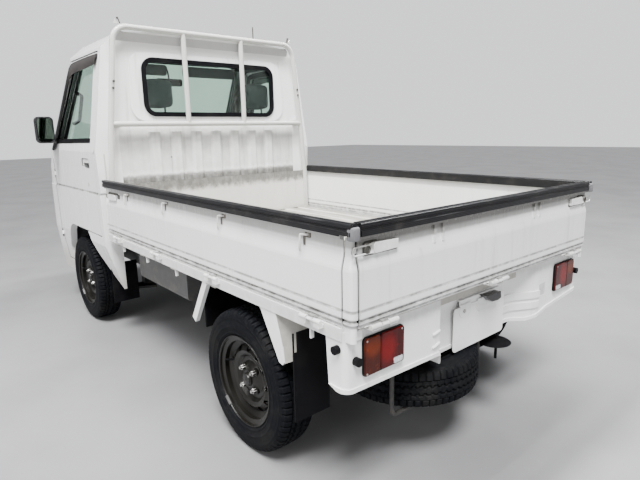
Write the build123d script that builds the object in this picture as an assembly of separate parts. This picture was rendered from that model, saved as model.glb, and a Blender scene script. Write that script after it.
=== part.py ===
from build123d import *
from math import cos, radians, sin
import os

# Kei truck, a small cab-over pickup with a drop-sided bed. Millimetres.
# +X forward, +Y to the left, +Z up. The origin is on the ground, at the middle of the overall length and width.

# Overall sizes
overall_length = 3395.0
wheelbase = 1900.0
front_overhang = 885.0
track = 1300.0
body_half = 735.0
rear_x = -overall_length / 2
front_x = overall_length / 2
front_axle_x = front_x - front_overhang
rear_axle_x = front_axle_x - wheelbase
gap = 8.0
clear = 5.0

# Wheels and tyres, 145 R12 on a 12 inch pressed steel rim
tyre_radius = 271.0
tyre_width = 146.0
bead_radius = 154.0
rim_flange_radius = 170.0
rim_half_width = 56.0
rim_wall = 4.0
disc_hole_count = 12
disc_hole_circle = 118.0
disc_hole_radius = 11.0
stud_circle = 50.0
stud_count = 4
nut_radius = 10.0
hub_bore = 20.0
spindle_clearance = 0.1
drum_radius = 104.0
axle_z = tyre_radius

# Load bed
bed_front_x = 270.0
floor_top = 645.0
floor_plate = 10.0
floor_rib = 5.0
floor_rib_pitch = 117.0
floor_rib_width = 60.0
floor_half = 700.0
bearer_height = 53.0
sill_height = 38.0
gate_inner_y = 705.0
gate_thickness = 15.0
gate_bottom = floor_top
gate_top = 905.0
band_depth = 12.0
band_z = 849.0
field_z = 810.0
field_depth = 1.5
flange_z = 893.0
ledge_z = 694.0
groove_z = 667.0
groove_depth = 6.0
rail_height = 33.0
rail_outer_lip = 7.0
hinge_radius = 5.5
hinge_outset = 12.0
post_length = 42.0
post_round = 18.0
tail_thickness = 24.0
board_height = 260.0
board_thickness = 12.0
side_hinge_x = (93.0, -406.0, -927.0, -1520.0)
tail_hinge_y = (600.0, 0.0, -600.0)
hinge_length = 60.0

# Cab
cab_rear_x = 292.0
cab_skin = 18.0
cab_wall = 40.0
cab_base_z = 290.0
roof_z = 1742.0
roof_edge_z = 1712.0
roof_edge_half = 560.0
drip_z = 1632.0
eave_z = 1672.0
eave_reach = 15.0
eave_half = 572.0
belt_z = 1086.0
crease_z = 857.0
crease_depth = 3.0
platform_z = 630.0
footwell_z = 430.0
floor_sheet = 22.0
wheelhouse_y = 416.0
arch_top = 617.0
door_rear_x = 345.0
door_upper_rear_x = 320.0
door_front_x = 1215.0
door_bottom_z = 340.0
door_top_z = 1612.0
door_inset = 14.0
handle_x = 499.0
handle_z = 1021.0
handle_length = 132.0
handle_height = 54.0
handle_depth = 15.0
glass_depth = 22.0
glass_thickness = 5.0
window_half = 436.0
window_low = 1284.0
window_high = 1588.0
window_corner = 62.0
rib_count = 7
rib_pitch = 132.0
rib_depth = 13.0
surround_proud = 7.0
surround_round = 85.0
surround_points = ((-524.0, 1250.0), (524.0, 1250.0), (505.0, 1624.0), (-505.0, 1624.0))
rib_low = 905.0
rib_high = 1190.0
rear_panel = 16.0
grille_depth = 10.0
grille_bars = (690.0, 715.0, 740.0, 765.0)
screen_low = 1090.0
screen_high = 1668.0
screen_low_half = 628.0
screen_high_half = 545.0

# Guard frame behind the cab
guard_x = 258.0
guard_radius = 15.5
guard_bar_radius = 14.5
guard_top = 1740.0
guard_top_half = 588.0
guard_knee_z = 1180.0
guard_knee_half = 652.0
guard_foot_half = 683.0
guard_cross_z = 1233.0
guard_bar_y = 192.0
guard_corner = 85.0
guard_hook_y = 549.0
guard_hook_rise = 44.0
guard_rod_y = -287.0
guard_rod_rise = 84.0

# Chassis
rail_y = 350.0
rail_width = 60.0
rail_depth = 110.0
rail_rear_top = floor_top - floor_plate - bearer_height
rail_front_top = 500.0
rail_nose_top = 395.0
leaf_y = 480.0
kingpin_low = (front_axle_x, 606.0, 180.0)
kingpin_high = (front_axle_x, 540.0, 592.0)

# Rear end below the bed
valance_x = rear_x + 42.0
valance_half = 718.0
valance_bottom = 442.0
valance_top = 629.0
valance_wall = 3.0
valance_lip = 5.0
valance_round = 26.0
valance_front_x = -1572.0
recess_x = -1597.0
notch_left_y = 292.0
curve_inner_y = -235.0
curve_outer_y = -350.0
curve_round = 120.0
middle_bottom = 400.0
rib_levels = ((500.0, -375.0), (457.0, -375.0))
hole_y = -399.0
hole_z = 512.0
lamp_y = 572.0
lamp_z = 542.0
lamp_width = 170.0
lamp_height = 118.0
lamp_depth = 14.0
plate_x = -1614.0
plate_y = -8.0
plate_z = 466.0
plate_width = 330.0
plate_height = 165.0
spare_x = -1407.0
spare_y = 165.0
spare_z = 302.0
carrier_bar = 8.0
carrier_rear_x = spare_x - 153
carrier_front_x = spare_x + 157

os.makedirs("parts", exist_ok=True)


# Helpers

def save(name, shape):
    """Write one node, its solids as one compound."""
    solids = shape.solids() if hasattr(shape, "solids") else ShapeList(shape)
    export_step(Compound(children=list(solids)) if len(solids) > 1 else solids[0], f"parts/{name}.step")


def block(x0, x1, y0, y1, z0, z1):
    """A box from its two corners on each axis."""
    size = Box(abs(x1 - x0), abs(y1 - y0), abs(z1 - z0))
    return Pos((x0 + x1) / 2, (y0 + y1) / 2, (z0 + z1) / 2) * size


def flat_face(points, plane, rounds=None):
    """A closed outline of straight runs on a plane; rounds maps a corner's number to its radius."""
    outline = Polyline(*points, close=True)
    for number, radius in (rounds or {}).items():
        spot = Vector(points[number][0], points[number][1], 0)
        corner = min(outline.vertices(), key=lambda v: (Vector(*tuple(v)) - spot).length)
        outline = Wire(outline.wrapped).fillet_2d(radius, [corner])
    return plane * make_face(outline)


def side_prism(points, y0, y1, rounds=None):
    """An outline given as (x, z) carried along Y."""
    face = flat_face(points, Plane(origin=(0, y0, 0), x_dir=(1, 0, 0), z_dir=(0, -1, 0)), rounds)
    return extrude(face, y0 - y1)


def front_prism(points, x0, x1, rounds=None):
    """An outline given as (y, z) carried along X."""
    face = flat_face(points, Plane(origin=(x0, 0, 0), x_dir=(0, 1, 0), z_dir=(1, 0, 0)), rounds)
    return extrude(face, x1 - x0)


def plan_prism(points, z0, z1, rounds=None):
    """An outline given as (x, y) carried along Z."""
    face = flat_face(points, Plane(origin=(0, 0, z0), x_dir=(1, 0, 0), z_dir=(0, 0, 1)), rounds)
    return extrude(face, z1 - z0)


def round_bar(start, end, radius):
    """A straight round bar between two points."""
    line = Vector(*end) - Vector(*start)
    plane = Plane(origin=start, z_dir=line)
    return extrude(plane * Circle(radius), line.length)


def bent_tube(points, radius, bend):
    """A round tube along straight runs joined by arcs."""
    path = FilletPolyline(*points, radius=bend)
    plane = Plane(origin=path @ 0, z_dir=path % 0)
    return sweep(plane * Circle(radius), path=path)


def y_disc(x, y0, y1, z, radius):
    """A round disc whose axis runs along Y."""
    return round_bar((x, y0, z), (x, y1, z), radius)


def x_disc(x0, x1, y, z, radius):
    """A round disc whose axis runs along X."""
    return round_bar((x0, y, z), (x1, y, z), radius)


def flip(shape):
    """The same piece on the other side of the truck."""
    return mirror(shape, about=Plane.XZ)


def both(shape):
    """A piece and its mirror image, as one list of solids."""
    return Compound(children=list(shape.solids()) + list(flip(shape).solids()))


def join(*shapes):
    """Pieces on one node that need not touch."""
    solids = []
    for shape in shapes:
        solids += list(shape.solids())
    return Compound(children=solids)


# Cab body: plan sections stacked from the sill to above the roof
# height, half width at the rear, half width ahead, where the side ends, corner x, corner y, nose x
cab_sections = (
    (cab_base_z - 40, 640, 696, 1330, 1622, 540, 1649),
    (cab_base_z + 10, 655, 702, 1330, 1625, 540, 1652),
    (560.0, body_half - 3, body_half - 2, 1330, 1628, 540, 1655),
    (crease_z - 5, body_half, body_half, 1312, 1585, 545, 1612),
    (crease_z + 5, body_half - 5, body_half - 5, 1312, 1582, 545, 1609),
    (985.0, body_half - 3, body_half - 3, 1290, 1500, 560, 1532),
    (1045.0, body_half - 1, body_half - 1, 1236, 1400, 590, 1452),
    (belt_z, body_half - 1, body_half - 1, 1206, 1366, 588, 1418),
    (1770.0, 628, 628, 772, 836, 520, 880),
)


def cab_section(row, inset):
    """One plan outline of the cab: straight back and sides, round front corners, bowed front."""
    z, rear_half, half, side_end, corner_x, corner_y, nose = row
    slant = 1.25
    rear = cab_rear_x + inset
    points = ((rear, rear_half - inset), (side_end - inset * 0.6, half - inset))
    corner = (corner_x - inset * slant, corner_y - inset * 0.4)
    left = Line(points[0], points[1])
    turn = TangentArc(points[1], corner, tangent=(points[1][0] - points[0][0], points[1][1] - points[0][1]))
    bow = ThreePointArc(corner, (nose - inset * slant, 0), (corner[0], -corner[1]))
    end = (points[1][0], -points[1][1])
    turn_back = mirror(turn, about=Plane.XZ)
    right = Line(end, (rear, -points[0][1]))
    back = Line((rear, -points[0][1]), (rear, points[0][1]))
    return Pos(0, 0, z) * make_face([left, turn, bow, turn_back, right, back])


def roof_across(inset):
    """Everything under the roof's crown, as one section carried along the truck."""
    edge = roof_edge_z - inset
    half = roof_edge_half - inset * 0.4
    base = cab_base_z - 200
    roof_arc = ThreePointArc((half, edge), (0, roof_z - inset), (-half, edge))
    shoulder = Polyline((-half, edge), (-900, edge - 300), (-900, base), (900, base), (900, edge - 300), (half, edge))
    section = Plane(origin=(0, 0, 0), x_dir=(0, 1, 0), z_dir=(1, 0, 0)) * make_face([roof_arc, shoulder])
    return extrude(section, 2000)


def cab_volume(inset):
    """The closed form of the cab, drawn in by a wall's thickness."""
    body = loft([cab_section(row, inset) for row in cab_sections], ruled=True)
    top = roof_z - inset
    base = cab_base_z - 200
    across = roof_across(inset)
    rear = cab_rear_x + inset
    brow = 880 - inset * 1.1
    side = ((rear, base), (rear, top - 50), (rear + 50, top), (brow, top), (brow + 300, top - 300), (2000, base))
    along = side_prism(side, -900, 900)
    return body & across & along


cab_outer = cab_volume(0)
cab_mid = cab_volume(cab_skin)
cab_inner = cab_volume(cab_wall)
crease = (cab_outer - cab_volume(crease_depth)) & block(cab_rear_x + 60, 1560, -900, 900, crease_z - 3, crease_z + 3)
shell = cab_outer - cab_inner - crease

arch_outline = (
    (1112, 100), (1112, 440), (962, arch_top), (600, arch_top), (505, 490), (345, 345), (250, 262), (250, 100),
)
arch_rounds = {1: 110.0, 2: 130.0, 3: 70.0, 4: 200.0}
window_front_low = (1163.0, belt_z + 18)
window_front_high = (822.0, 1572.0)
pillar = 48.0
door_outline = (
    (door_rear_x, arch_top), (door_rear_x, belt_z - 12), (door_upper_rear_x, belt_z + 10),
    (door_upper_rear_x, door_top_z), (window_front_high[0] + pillar - 4, door_top_z),
    (window_front_low[0] + pillar, belt_z), (door_front_x, belt_z - 60), (door_front_x, door_bottom_z),
    (1060, door_bottom_z), (900, arch_top),
)
window_outline = (
    (door_rear_x + 52, belt_z + 68), (door_rear_x + 52, window_front_high[1]), window_front_high,
    window_front_low, (window_front_low[0] - 60, belt_z + 62),
)
window_rounds = {0: 30.0, 1: 40.0, 2: 25.0}
door_rounds = {3: 40.0, 4: 40.0}


def outline_prism(points, rounds, grow, y0, y1):
    """A side outline, grown or shrunk by a margin, carried along Y."""
    face = flat_face(points, Plane(origin=(0, y0, 0), x_dir=(1, 0, 0), z_dir=(0, -1, 0)), rounds)
    if grow:
        face = offset(face, amount=grow, kind=Kind.INTERSECTION)
    return extrude(face, y0 - y1)


arch_cut = outline_prism(arch_outline, arch_rounds, 0, -900, 900)


def make_door():
    """Left door: an outer skin, a smaller inner box that fits the opening, and a cut window."""
    skin = (cab_outer - cab_mid) & outline_prism(door_outline, door_rounds, 0, 300, 900)
    inner = (cab_mid - cab_inner) & outline_prism(door_outline, door_rounds, -door_inset, 300, 900)
    leaf = (skin + inner) - outline_prism(window_outline, window_rounds, 0, 300, 900) - arch_cut - crease
    pocket = block(handle_x - handle_length / 2, handle_x + handle_length / 2, body_half - handle_depth, 900,
                   handle_z - handle_height / 2, handle_z + handle_height / 2)
    pocket = fillet(pocket.edges().filter_by(Axis.Y), 14)
    lever = block(handle_x - handle_length / 2 + 8, handle_x + handle_length / 2 - 10, body_half - handle_depth - 1,
                  body_half - 5, handle_z + 2, handle_z + handle_height / 2 - 4)
    return leaf - pocket + fillet(lever.edges().filter_by(Axis.Y), 4)


def make_glass(outline, depth):
    """A sheet of glass that follows the cab's own form inside one outline."""
    return (cab_volume(depth) - cab_volume(depth + glass_thickness)) & outline


door_hinge = (1219.0, 731.0)
door_hinge_z = (520.0, 930.0)
door_barrel = 5.0
barrel_half = 12.0
fixed_barrel = 16.0


def hinge_pin(z0, z1, radius):
    """A length of the left door's hinge axis as a round bar."""
    return round_bar((*door_hinge, z0), (*door_hinge, z1), radius)


def door_barrels(leaf):
    """Hinge barrels of the left door, each on a short web from its front edge."""
    x, y = door_hinge
    for z in door_hinge_z:
        leaf -= hinge_pin(z - barrel_half - fixed_barrel - 2, z + barrel_half + fixed_barrel + 2, door_barrel + 1.5)
        leaf += hinge_pin(z - barrel_half, z + barrel_half, door_barrel)
        leaf += block(x - 7, x, y - 4, y + 2, z - barrel_half, z + barrel_half)
    return leaf


def pillar_barrels(frames):
    """The fixed barrels above and below each door barrel, on webs from the front panel's edge."""
    x, y = door_hinge
    for z in door_hinge_z:
        frames -= hinge_pin(z - barrel_half - 2, z + barrel_half + 2, door_barrel + 1.5)
        for low in (z - barrel_half - fixed_barrel - 1, z + barrel_half + 1):
            frames += hinge_pin(low, low + fixed_barrel, door_barrel)
            frames += block(x, x + 7, y - 4, y + 2, low, low + fixed_barrel)
    return frames


door_left = door_barrels(make_door())
glass_left = make_glass(outline_prism(window_outline, window_rounds, 0, 300, 900), glass_depth)

# Cab panels: what the doors leave, split at the real panel joints
door_cut = outline_prism(door_outline, door_rounds, gap, 300, 900)
rest = shell - door_cut - flip(door_cut) - arch_cut
screen_points = (
    (-screen_low_half, screen_low), (screen_low_half, screen_low), (screen_high_half, screen_high),
    (-screen_high_half, screen_high),
)
screen_prism = front_prism(screen_points, 800, 1500, {0: 60.0, 1: 60.0, 2: 70.0, 3: 70.0})
rest = rest - screen_prism
windscreen = make_glass(screen_prism, glass_depth)

back_half = 600.0
back_low = platform_z - floor_sheet
rear_zone = block(cab_rear_x - 30, cab_rear_x + cab_wall, -back_half, back_half, back_low, drip_z)
under_zone = block(cab_rear_x - 30, cab_rear_x + cab_wall + 1, -640, 640, 0, back_low)
window_points = (
    (-window_half, window_low), (window_half, window_low), (window_half, window_high), (-window_half, window_high),
)
window_round = {i: window_corner for i in range(4)}


def rear_window_prism(grow, x0, x1):
    """The rear window's rounded outline, grown by a margin, through a wall."""
    face = flat_face(window_points, Plane(origin=(x0, 0, 0), x_dir=(0, 1, 0), z_dir=(1, 0, 0)), window_round)
    if grow:
        face = offset(face, amount=grow)
    return extrude(face, x1 - x0)


def make_rear_wall():
    """Back panel with its upright ribs and a raised frame round the window."""
    wall = block(cab_rear_x, cab_rear_x + rear_panel, -back_half, back_half, back_low, drip_z)
    wall += front_prism(surround_points, cab_rear_x - surround_proud, cab_rear_x, {i: surround_round for i in range(4)})
    for i in range(rib_count):
        y = (i - (rib_count - 1) / 2) * rib_pitch
        foot, crest = 38.0, 20.0
        rib = plan_prism(((cab_rear_x, y - foot), (cab_rear_x - rib_depth, y - crest),
                          (cab_rear_x - rib_depth, y + crest), (cab_rear_x, y + foot)), rib_low, rib_high)
        wall += rib
    return wall - rear_window_prism(0, cab_rear_x - 30, cab_rear_x + 60)


roof_zone = block(0, 1500, -900, 900, drip_z, 1900)
front_zone = block(door_front_x + gap, 1800, -900, 900, 0, screen_low - 24)
eave_x = cab_rear_x - eave_reach
eave_outline = ((cab_rear_x + 20, eave_z - 6), (cab_rear_x, eave_z), (eave_x, eave_z + 44), (eave_x, eave_z + 58),
                (eave_x + 22, roof_z), (cab_rear_x + 60, roof_z), (cab_rear_x + 60, roof_z - cab_wall))
eave = side_prism(eave_outline, -eave_half, eave_half) & roof_across(0)
roof = (rest & roof_zone) + eave
grille_cut = cab_volume(-30) - cab_volume(grille_depth)
grille_cut = grille_cut & front_prism(((-360, 665), (360, 665), (366, 790), (-366, 790)), 1450, 1800,
                                      {0: 20.0, 1: 20.0, 2: 20.0, 3: 20.0})
nose = pillar_barrels(rest & front_zone) - grille_cut
for z in grille_bars:
    nose += (cab_volume(grille_depth - 7) - cab_volume(grille_depth)) & block(1450, 1800, -362, 362, z - 5, z + 5)
nose = flip(pillar_barrels(flip(nose)))
corner_y = 470.0
nose = join(nose & block(0, 2000, corner_y, 900, 0, 2000), nose & block(0, 2000, -corner_y, corner_y, 0, 2000),
            nose & block(0, 2000, -900, -corner_y, 0, 2000))
side_frames = rest - roof_zone - front_zone - rear_zone - under_zone
rear_wall = make_rear_wall()


def make_cab_floor():
    """Seat platform over the engine and wheels, stepping down to the footwell."""
    top = ((cab_rear_x + cab_wall, platform_z), (1128, platform_z), (1160, footwell_z), (1555, footwell_z),
           (1590, 560))
    under = ((1590 + floor_sheet, 560), (1565, footwell_z - floor_sheet), (1140, footwell_z - floor_sheet),
             (1108, platform_z - floor_sheet), (cab_rear_x + cab_wall, platform_z - floor_sheet))
    sheet = side_prism(top + under, -900, 900)
    middle = sheet & block(0, 1800, -(body_half - cab_wall - 10), body_half - cab_wall - 10, 0, 1800)
    ends = sheet & cab_inner & (block(0, door_rear_x - gap, -900, 900, 0, 900)
                                + block(door_front_x + gap, 1800, -900, 900, 0, 900))
    floor = (middle & cab_inner) + ends
    for side in (-1, 1):
        floor += block(470, 1120, side * wheelhouse_y, side * (wheelhouse_y - 4), 330, platform_z - floor_sheet)
        floor += block(1116, 1120, side * wheelhouse_y, side * 640, 300, platform_z - floor_sheet)
    return floor


cab_floor = make_cab_floor()

window_glass = rear_window_prism(0, cab_rear_x + 4, cab_rear_x + 4 + glass_thickness)
seal_x = cab_rear_x - surround_proud
window_seal = rear_window_prism(10, seal_x - 6, seal_x) - rear_window_prism(-16, seal_x - 20, cab_rear_x)
window_seal += rear_window_prism(0, seal_x, cab_rear_x + 4) - rear_window_prism(-16, seal_x - 20, cab_rear_x + 9)

save("door_panel_left", door_left)
save("door_panel_right", flip(door_left))
save("door_glass_left", glass_left)
save("door_glass_right", flip(glass_left))
save("cab_roof", roof)
save("cab_front_panel", nose)
save("cab_side_frames", side_frames)
save("cab_rear_wall", rear_wall)
save("cab_floor", cab_floor)
save("windscreen", windscreen)
save("rear_window", window_glass)
save("rear_window_seal", window_seal)

# Door mirrors, on a stalk at the foot of the windscreen pillar
mirror_x = 1040.0
mirror_y = 806.0
mirror_z = 1215.0
mirror_width = 106.0
mirror_height = 165.0
mirror_depth = 52.0


def make_mirror():
    """Left mirror: a rounded housing on a short arm from a foot on the door."""
    housing = block(mirror_x - mirror_depth / 2, mirror_x + mirror_depth / 2, mirror_y - mirror_width / 2,
                    mirror_y + mirror_width / 2, mirror_z - mirror_height / 2, mirror_z + mirror_height / 2)
    housing = fillet(housing.edges().filter_by(Axis.X), 26)
    housing = fillet(housing.faces().sort_by(Axis.X)[-1].edges(), 18)
    arm = round_bar((mirror_x + 8, mirror_y - mirror_width / 2 + 10, mirror_z - 50), (1086, 722, belt_z + 44), 12)
    return (housing + arm) - door_left - glass_left


mirror_left = make_mirror()
save("mirror_left", mirror_left)
save("mirror_right", flip(mirror_left))

# Nose: bumper, grille and head lamps
bumper_z0 = 330.0
bumper_z1 = 520.0


def make_bumper():
    """Front bumper, bowed like the nose, with its lower lip drawn in."""
    outer = ((1450, 690), (1560, 655), (1670, 500), (front_x, 200), (front_x, -200), (1670, -500), (1560, -655),
             (1450, -690))
    body = plan_prism(outer, bumper_z0, bumper_z1, {2: 120.0, 3: 400.0, 4: 400.0, 5: 120.0})
    body = body - cab_volume(-2)
    intake = plan_prism(((1500, 300), (1500, -300), (1800, -300), (1800, 300)), bumper_z0 + 34, bumper_z0 + 98)
    body -= intake & (plan_prism(outer, bumper_z0, bumper_z1) - Pos(-24, 0, 0) * plan_prism(outer, bumper_z0, bumper_z1))
    for side in (-1, 1):
        body -= block(1590, 1800, side * 400, side * 520, bumper_z1 - 84, bumper_z1 - 34)
    return body & block(1450, 1800, -800, 800, bumper_z0, bumper_z1)


save("front_bumper", make_bumper())
lamp_head = block(1450, 1800, 380, 640, 640, 800)
head_lamp = (cab_volume(-14) - cab_volume(-1)) & lamp_head
save("head_lamps", both(head_lamp))

# Cab inside: dashboard, steering and seats
dash_x = 1180.0
seat_y = 342.0
seat_half = 235.0
wheel_y = -342.0
wheel_centre = (1010.0, wheel_y, 1010.0)
wheel_tilt = 42.0
wheel_radius = 185.0

dash_profile = ((dash_x, 800), (dash_x, 960), (dash_x + 60, 1030), (1380, 1030), (1470, 900), (1470, 780))
dashboard = side_prism(dash_profile, -800, 800, {1: 40.0, 2: 50.0}) & cab_volume(cab_wall + 10)
dashboard = dashboard + (block(1300, 1560, -560, 560, 800, 860) & cab_inner)
save("dashboard", dashboard)

steer_axis = Vector(-cos(radians(wheel_tilt)), 0, sin(radians(wheel_tilt)))
hub = Vector(*wheel_centre)


def make_steering_wheel():
    """Rim, boss and three spokes, tilted on the column."""
    plane = Plane(origin=wheel_centre, x_dir=(0, 1, 0), z_dir=tuple(steer_axis))
    rim = plane * Torus(wheel_radius, 13)
    boss = extrude(plane.offset(-22) * Circle(44), 34)
    spokes = []
    for turn in (0, 180, 270):
        spoke = plane * Rot(0, 0, turn) * Pos((wheel_radius + 30) / 2, 0, 0) * Box(wheel_radius - 35, 26, 10)
        spokes.append(spoke)
    return rim + boss + spokes


save("steering_wheel", make_steering_wheel())
column_top = hub - steer_axis * 24
column_end = hub - steer_axis * 330
column = round_bar(tuple(column_top), tuple(column_end), 24) - dashboard
column = column.solids().sort_by(SortBy.VOLUME)[-1] if len(column.solids()) > 1 else column
save("steering_column", column)


def make_seat():
    """One seat: base cushion, back and headrest, set against the rear wall."""
    base = side_prism(((400, platform_z + 1), (400, 790), (930, 830), (985, 790), (985, platform_z + 1)),
                      seat_y - seat_half, seat_y + seat_half, {1: 40.0, 2: 40.0, 3: 30.0})
    back = side_prism(((330, 830), (322, 1270), (398, 1270), (480, 840)),
                      seat_y - seat_half + 12, seat_y + seat_half - 12, {1: 30.0, 2: 30.0, 3: 40.0})
    rest_block = block(322, 392, seat_y - 105, seat_y + 105, 1322, 1492)
    rest_block = fillet(rest_block.edges().filter_by(Axis.X), 45)
    stems = round_bar((357, seat_y - 50, 1240), (357, seat_y - 50, 1360), 6)
    stems += round_bar((357, seat_y + 50, 1240), (357, seat_y + 50, 1360), 6)
    return base, back, rest_block, stems


seat_base, seat_back, head_rest, head_stems = make_seat()
save("seats", join(both(seat_base), both(seat_back)))
save("headrests", both(head_rest + (head_stems - seat_back)))

# Load bed: ribbed floor on cross bearers, front board, sills, corner posts and gates


def make_bed_floor():
    """Floor sheet with long ribs, its cross bearers and the board at the front."""
    low = floor_top - floor_rib - floor_plate
    count = int((2 * floor_half - floor_rib_width) // floor_rib_pitch) + 1
    points = [(-floor_half, low), (floor_half, low), (floor_half, floor_top - floor_rib)]
    for i in range(count):
        y = ((count - 1) / 2 - i) * floor_rib_pitch
        points += [(y + floor_rib_width / 2 + 5, floor_top - floor_rib), (y + floor_rib_width / 2, floor_top),
                   (y - floor_rib_width / 2, floor_top), (y - floor_rib_width / 2 - 5, floor_top - floor_rib)]
    points.append((-floor_half, floor_top - floor_rib))
    tail_x = rear_x + hinge_outset + tail_thickness + clear + 1
    sheet = front_prism(points, tail_x, bed_front_x)
    for i in range(6):
        x = bed_front_x - 60 - i * (bed_front_x - tail_x - 130) / 5
        sheet += block(x - 25, x + 25, -floor_half + 2, floor_half - 2, low - bearer_height + floor_rib, low)
    return sheet


bed_floor = make_bed_floor()
board = block(bed_front_x - board_thickness, bed_front_x, -floor_half, floor_half, floor_top, floor_top + board_height)
board -= block(guard_x - 40, guard_x + 40, guard_foot_half - guard_radius - 1, 800, 0, 2000)
board -= flip(block(guard_x - 40, guard_x + 40, guard_foot_half - guard_radius - 1, 800, 0, 2000))
save("bed_floor", bed_floor + board)

# Outer face of every gate from its foot up, as (depth behind the outermost face, height)
gate_form = (
    (groove_depth, gate_bottom), (groove_depth, gate_bottom + 9), (1.0, gate_bottom + 12), (1.0, groove_z - 5),
    (groove_depth, groove_z - 2), (groove_depth, groove_z + 2), (0.5, groove_z + 5), (0.5, ledge_z - 2),
    (field_depth, ledge_z), (field_depth, field_z - 4), (field_depth + 1.2, field_z + 4),
    (band_depth - 1.2, band_z - 3), (band_depth, band_z + 5), (band_depth, flange_z - 4), (0.5, flange_z),
    (0.5, gate_top),
)

sill_top = gate_bottom - clear
post_x0 = rear_x + hinge_outset
side_rear_x = post_x0 + post_length + clear
hinge_y = gate_inner_y + gate_thickness + hinge_outset


def make_sill():
    """Left side rail of the bed under the gate, a folded channel with tabs for ropes."""
    sill = block(side_rear_x, bed_front_x, floor_half, gate_inner_y + gate_thickness, sill_top - sill_height, sill_top)
    sill += block(side_rear_x, bed_front_x, floor_half - 40, floor_half, sill_top - sill_height, sill_top - 20) - bed_floor
    for x in (60.0, -255.0, -577.0, -1500.0):
        sill += block(x - 3, x + 3, gate_inner_y, gate_inner_y + 12, sill_top - sill_height - 32, sill_top - sill_height)
    return sill


sill_left = make_sill()
save("bed_sills", both(sill_left))


def side_gate_profile():
    """Section of the left gate, outer face first, as (y, z)."""
    outer = gate_inner_y + gate_thickness
    return ((gate_inner_y, gate_bottom), *((outer - depth, z) for depth, z in gate_form), (gate_inner_y, gate_top))


gate_left = front_prism(side_gate_profile(), side_rear_x, bed_front_x - clear - 1)


def barrel(x, y, z, length, radius, along):
    """One hinge barrel centred on a point."""
    if along == "x":
        return x_disc(x - length / 2, x + length / 2, y, z, radius)
    return y_disc(x, y - length / 2, y + length / 2, z, radius)


side_hinge_z = gate_bottom - 4
for x in side_hinge_x:
    knuckle = barrel(x, hinge_y, side_hinge_z, hinge_length / 2 - 4, hinge_radius, "x")
    strap = block(x - hinge_length / 4 + 2, x + hinge_length / 4 - 2, gate_inner_y + gate_thickness - 6, hinge_y,
                  gate_bottom + 2, gate_bottom + 8)
    web = block(x - hinge_length / 4 + 2, x + hinge_length / 4 - 2, hinge_y - 4, hinge_y, side_hinge_z, gate_bottom + 8)
    gate_left += knuckle + strap + web
save("side_gate_left", gate_left)
save("side_gate_right", flip(gate_left))


def rail_section(inner, outer, z0):
    """Section of the ribbed strip on a gate's top edge, as (across, height)."""
    z1 = z0 + rail_height
    return (
        (inner, z0 - 8), (inner, z1 - 5), (inner + 5, z1), (inner + 14, z1), (inner + 16, z1 - 3), (inner + 20, z1 - 3),
        (inner + 22, z1), (outer - 5, z1), (outer, z1 - 5), (outer, z1 - 13), (outer - 3, z1 - 15), (outer - 3, z1 - 20),
        (outer, z1 - 22), (outer, z0 - 4), (outer - 5, z0 - 4), (outer - 5, z0), (inner + 5, z0), (inner + 5, z0 - 8),
    )


side_rail = front_prism(
    rail_section(gate_inner_y - 6, gate_inner_y + gate_thickness + rail_outer_lip, gate_top), post_x0 + 1, bed_front_x - 6)
side_rail -= block(post_x0 - 9, side_rear_x, 0, 900, 0, gate_top)
save("side_rail_left", side_rail)
save("side_rail_right", flip(side_rail))

tail_outer_x = post_x0
tail_inner_x = post_x0 + tail_thickness
tail_half = gate_inner_y - 15.0
tail_hinge_x = rear_x + hinge_radius
stiffener_y = (345.0, -267.0)
stiffener_gap = 42.0
latch_z = 863.0
lever_inner_y = 540.0
lever_outer_y = 660.0
bail_radius = 2.5
bail_x = post_x0 + 0.5
bail_end_y = 716.0


def latch_lever():
    """Left tailgate latch: a flat lever on the band and the wire bail that reaches over the post's hook."""
    band_x = tail_outer_x + band_depth
    outline = ((lever_inner_y, latch_z - 13), (lever_outer_y - 24, latch_z - 16), (lever_outer_y, latch_z - 9),
               (lever_outer_y, latch_z + 9), (lever_outer_y - 24, latch_z + 16), (lever_inner_y, latch_z + 13))
    lever = front_prism(outline, band_x - 11, band_x - 3)
    lever += block(band_x - 4, band_x, lever_outer_y - 40, lever_outer_y - 8, latch_z - 8, latch_z + 8)
    route = ((bail_x, lever_outer_y - 12, latch_z + 11), (bail_x, bail_end_y, latch_z + 11),
             (bail_x, bail_end_y, latch_z - 11), (bail_x, lever_outer_y - 12, latch_z - 11))
    return lever + bent_tube(route, bail_radius, 6.0)


def make_tailgate():
    """Tailgate with its recessed upper band, upright stiffeners, flat field, hinge straps and latch levers."""
    points = ((tail_inner_x, gate_bottom), *((tail_outer_x + depth, z) for depth, z in gate_form),
              (tail_inner_x, gate_top))
    leaf = side_prism(points, -tail_half, tail_half)
    band_x = tail_outer_x + band_depth
    for centre in stiffener_y:
        for side in (-1, 1):
            y = centre + side * stiffener_gap / 2
            leaf += block(band_x - 7, band_x, y - 5, y + 5, band_z - 14, flange_z)
    leaf += latch_lever() + flip(latch_lever())
    for y in tail_hinge_y:
        leaf += barrel(tail_hinge_x, y, side_hinge_z, hinge_length / 2 - 4, hinge_radius, "y")
        leaf += block(tail_hinge_x, tail_outer_x + 6, y - 13, y + 13, gate_bottom + 2, gate_bottom + 8)
        leaf += block(tail_hinge_x, tail_hinge_x + 4, y - 13, y + 13, side_hinge_z, gate_bottom + 8)
    return leaf


save("tailgate", make_tailgate())
tail_rail = front_prism(rail_section(-tail_thickness + 0.5, 11, gate_top), -tail_half, tail_half)
tail_rail = Pos(tail_outer_x + 6, 0, 0) * Rot(0, 0, 90) * tail_rail
save("tailgate_rail", tail_rail)


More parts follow.
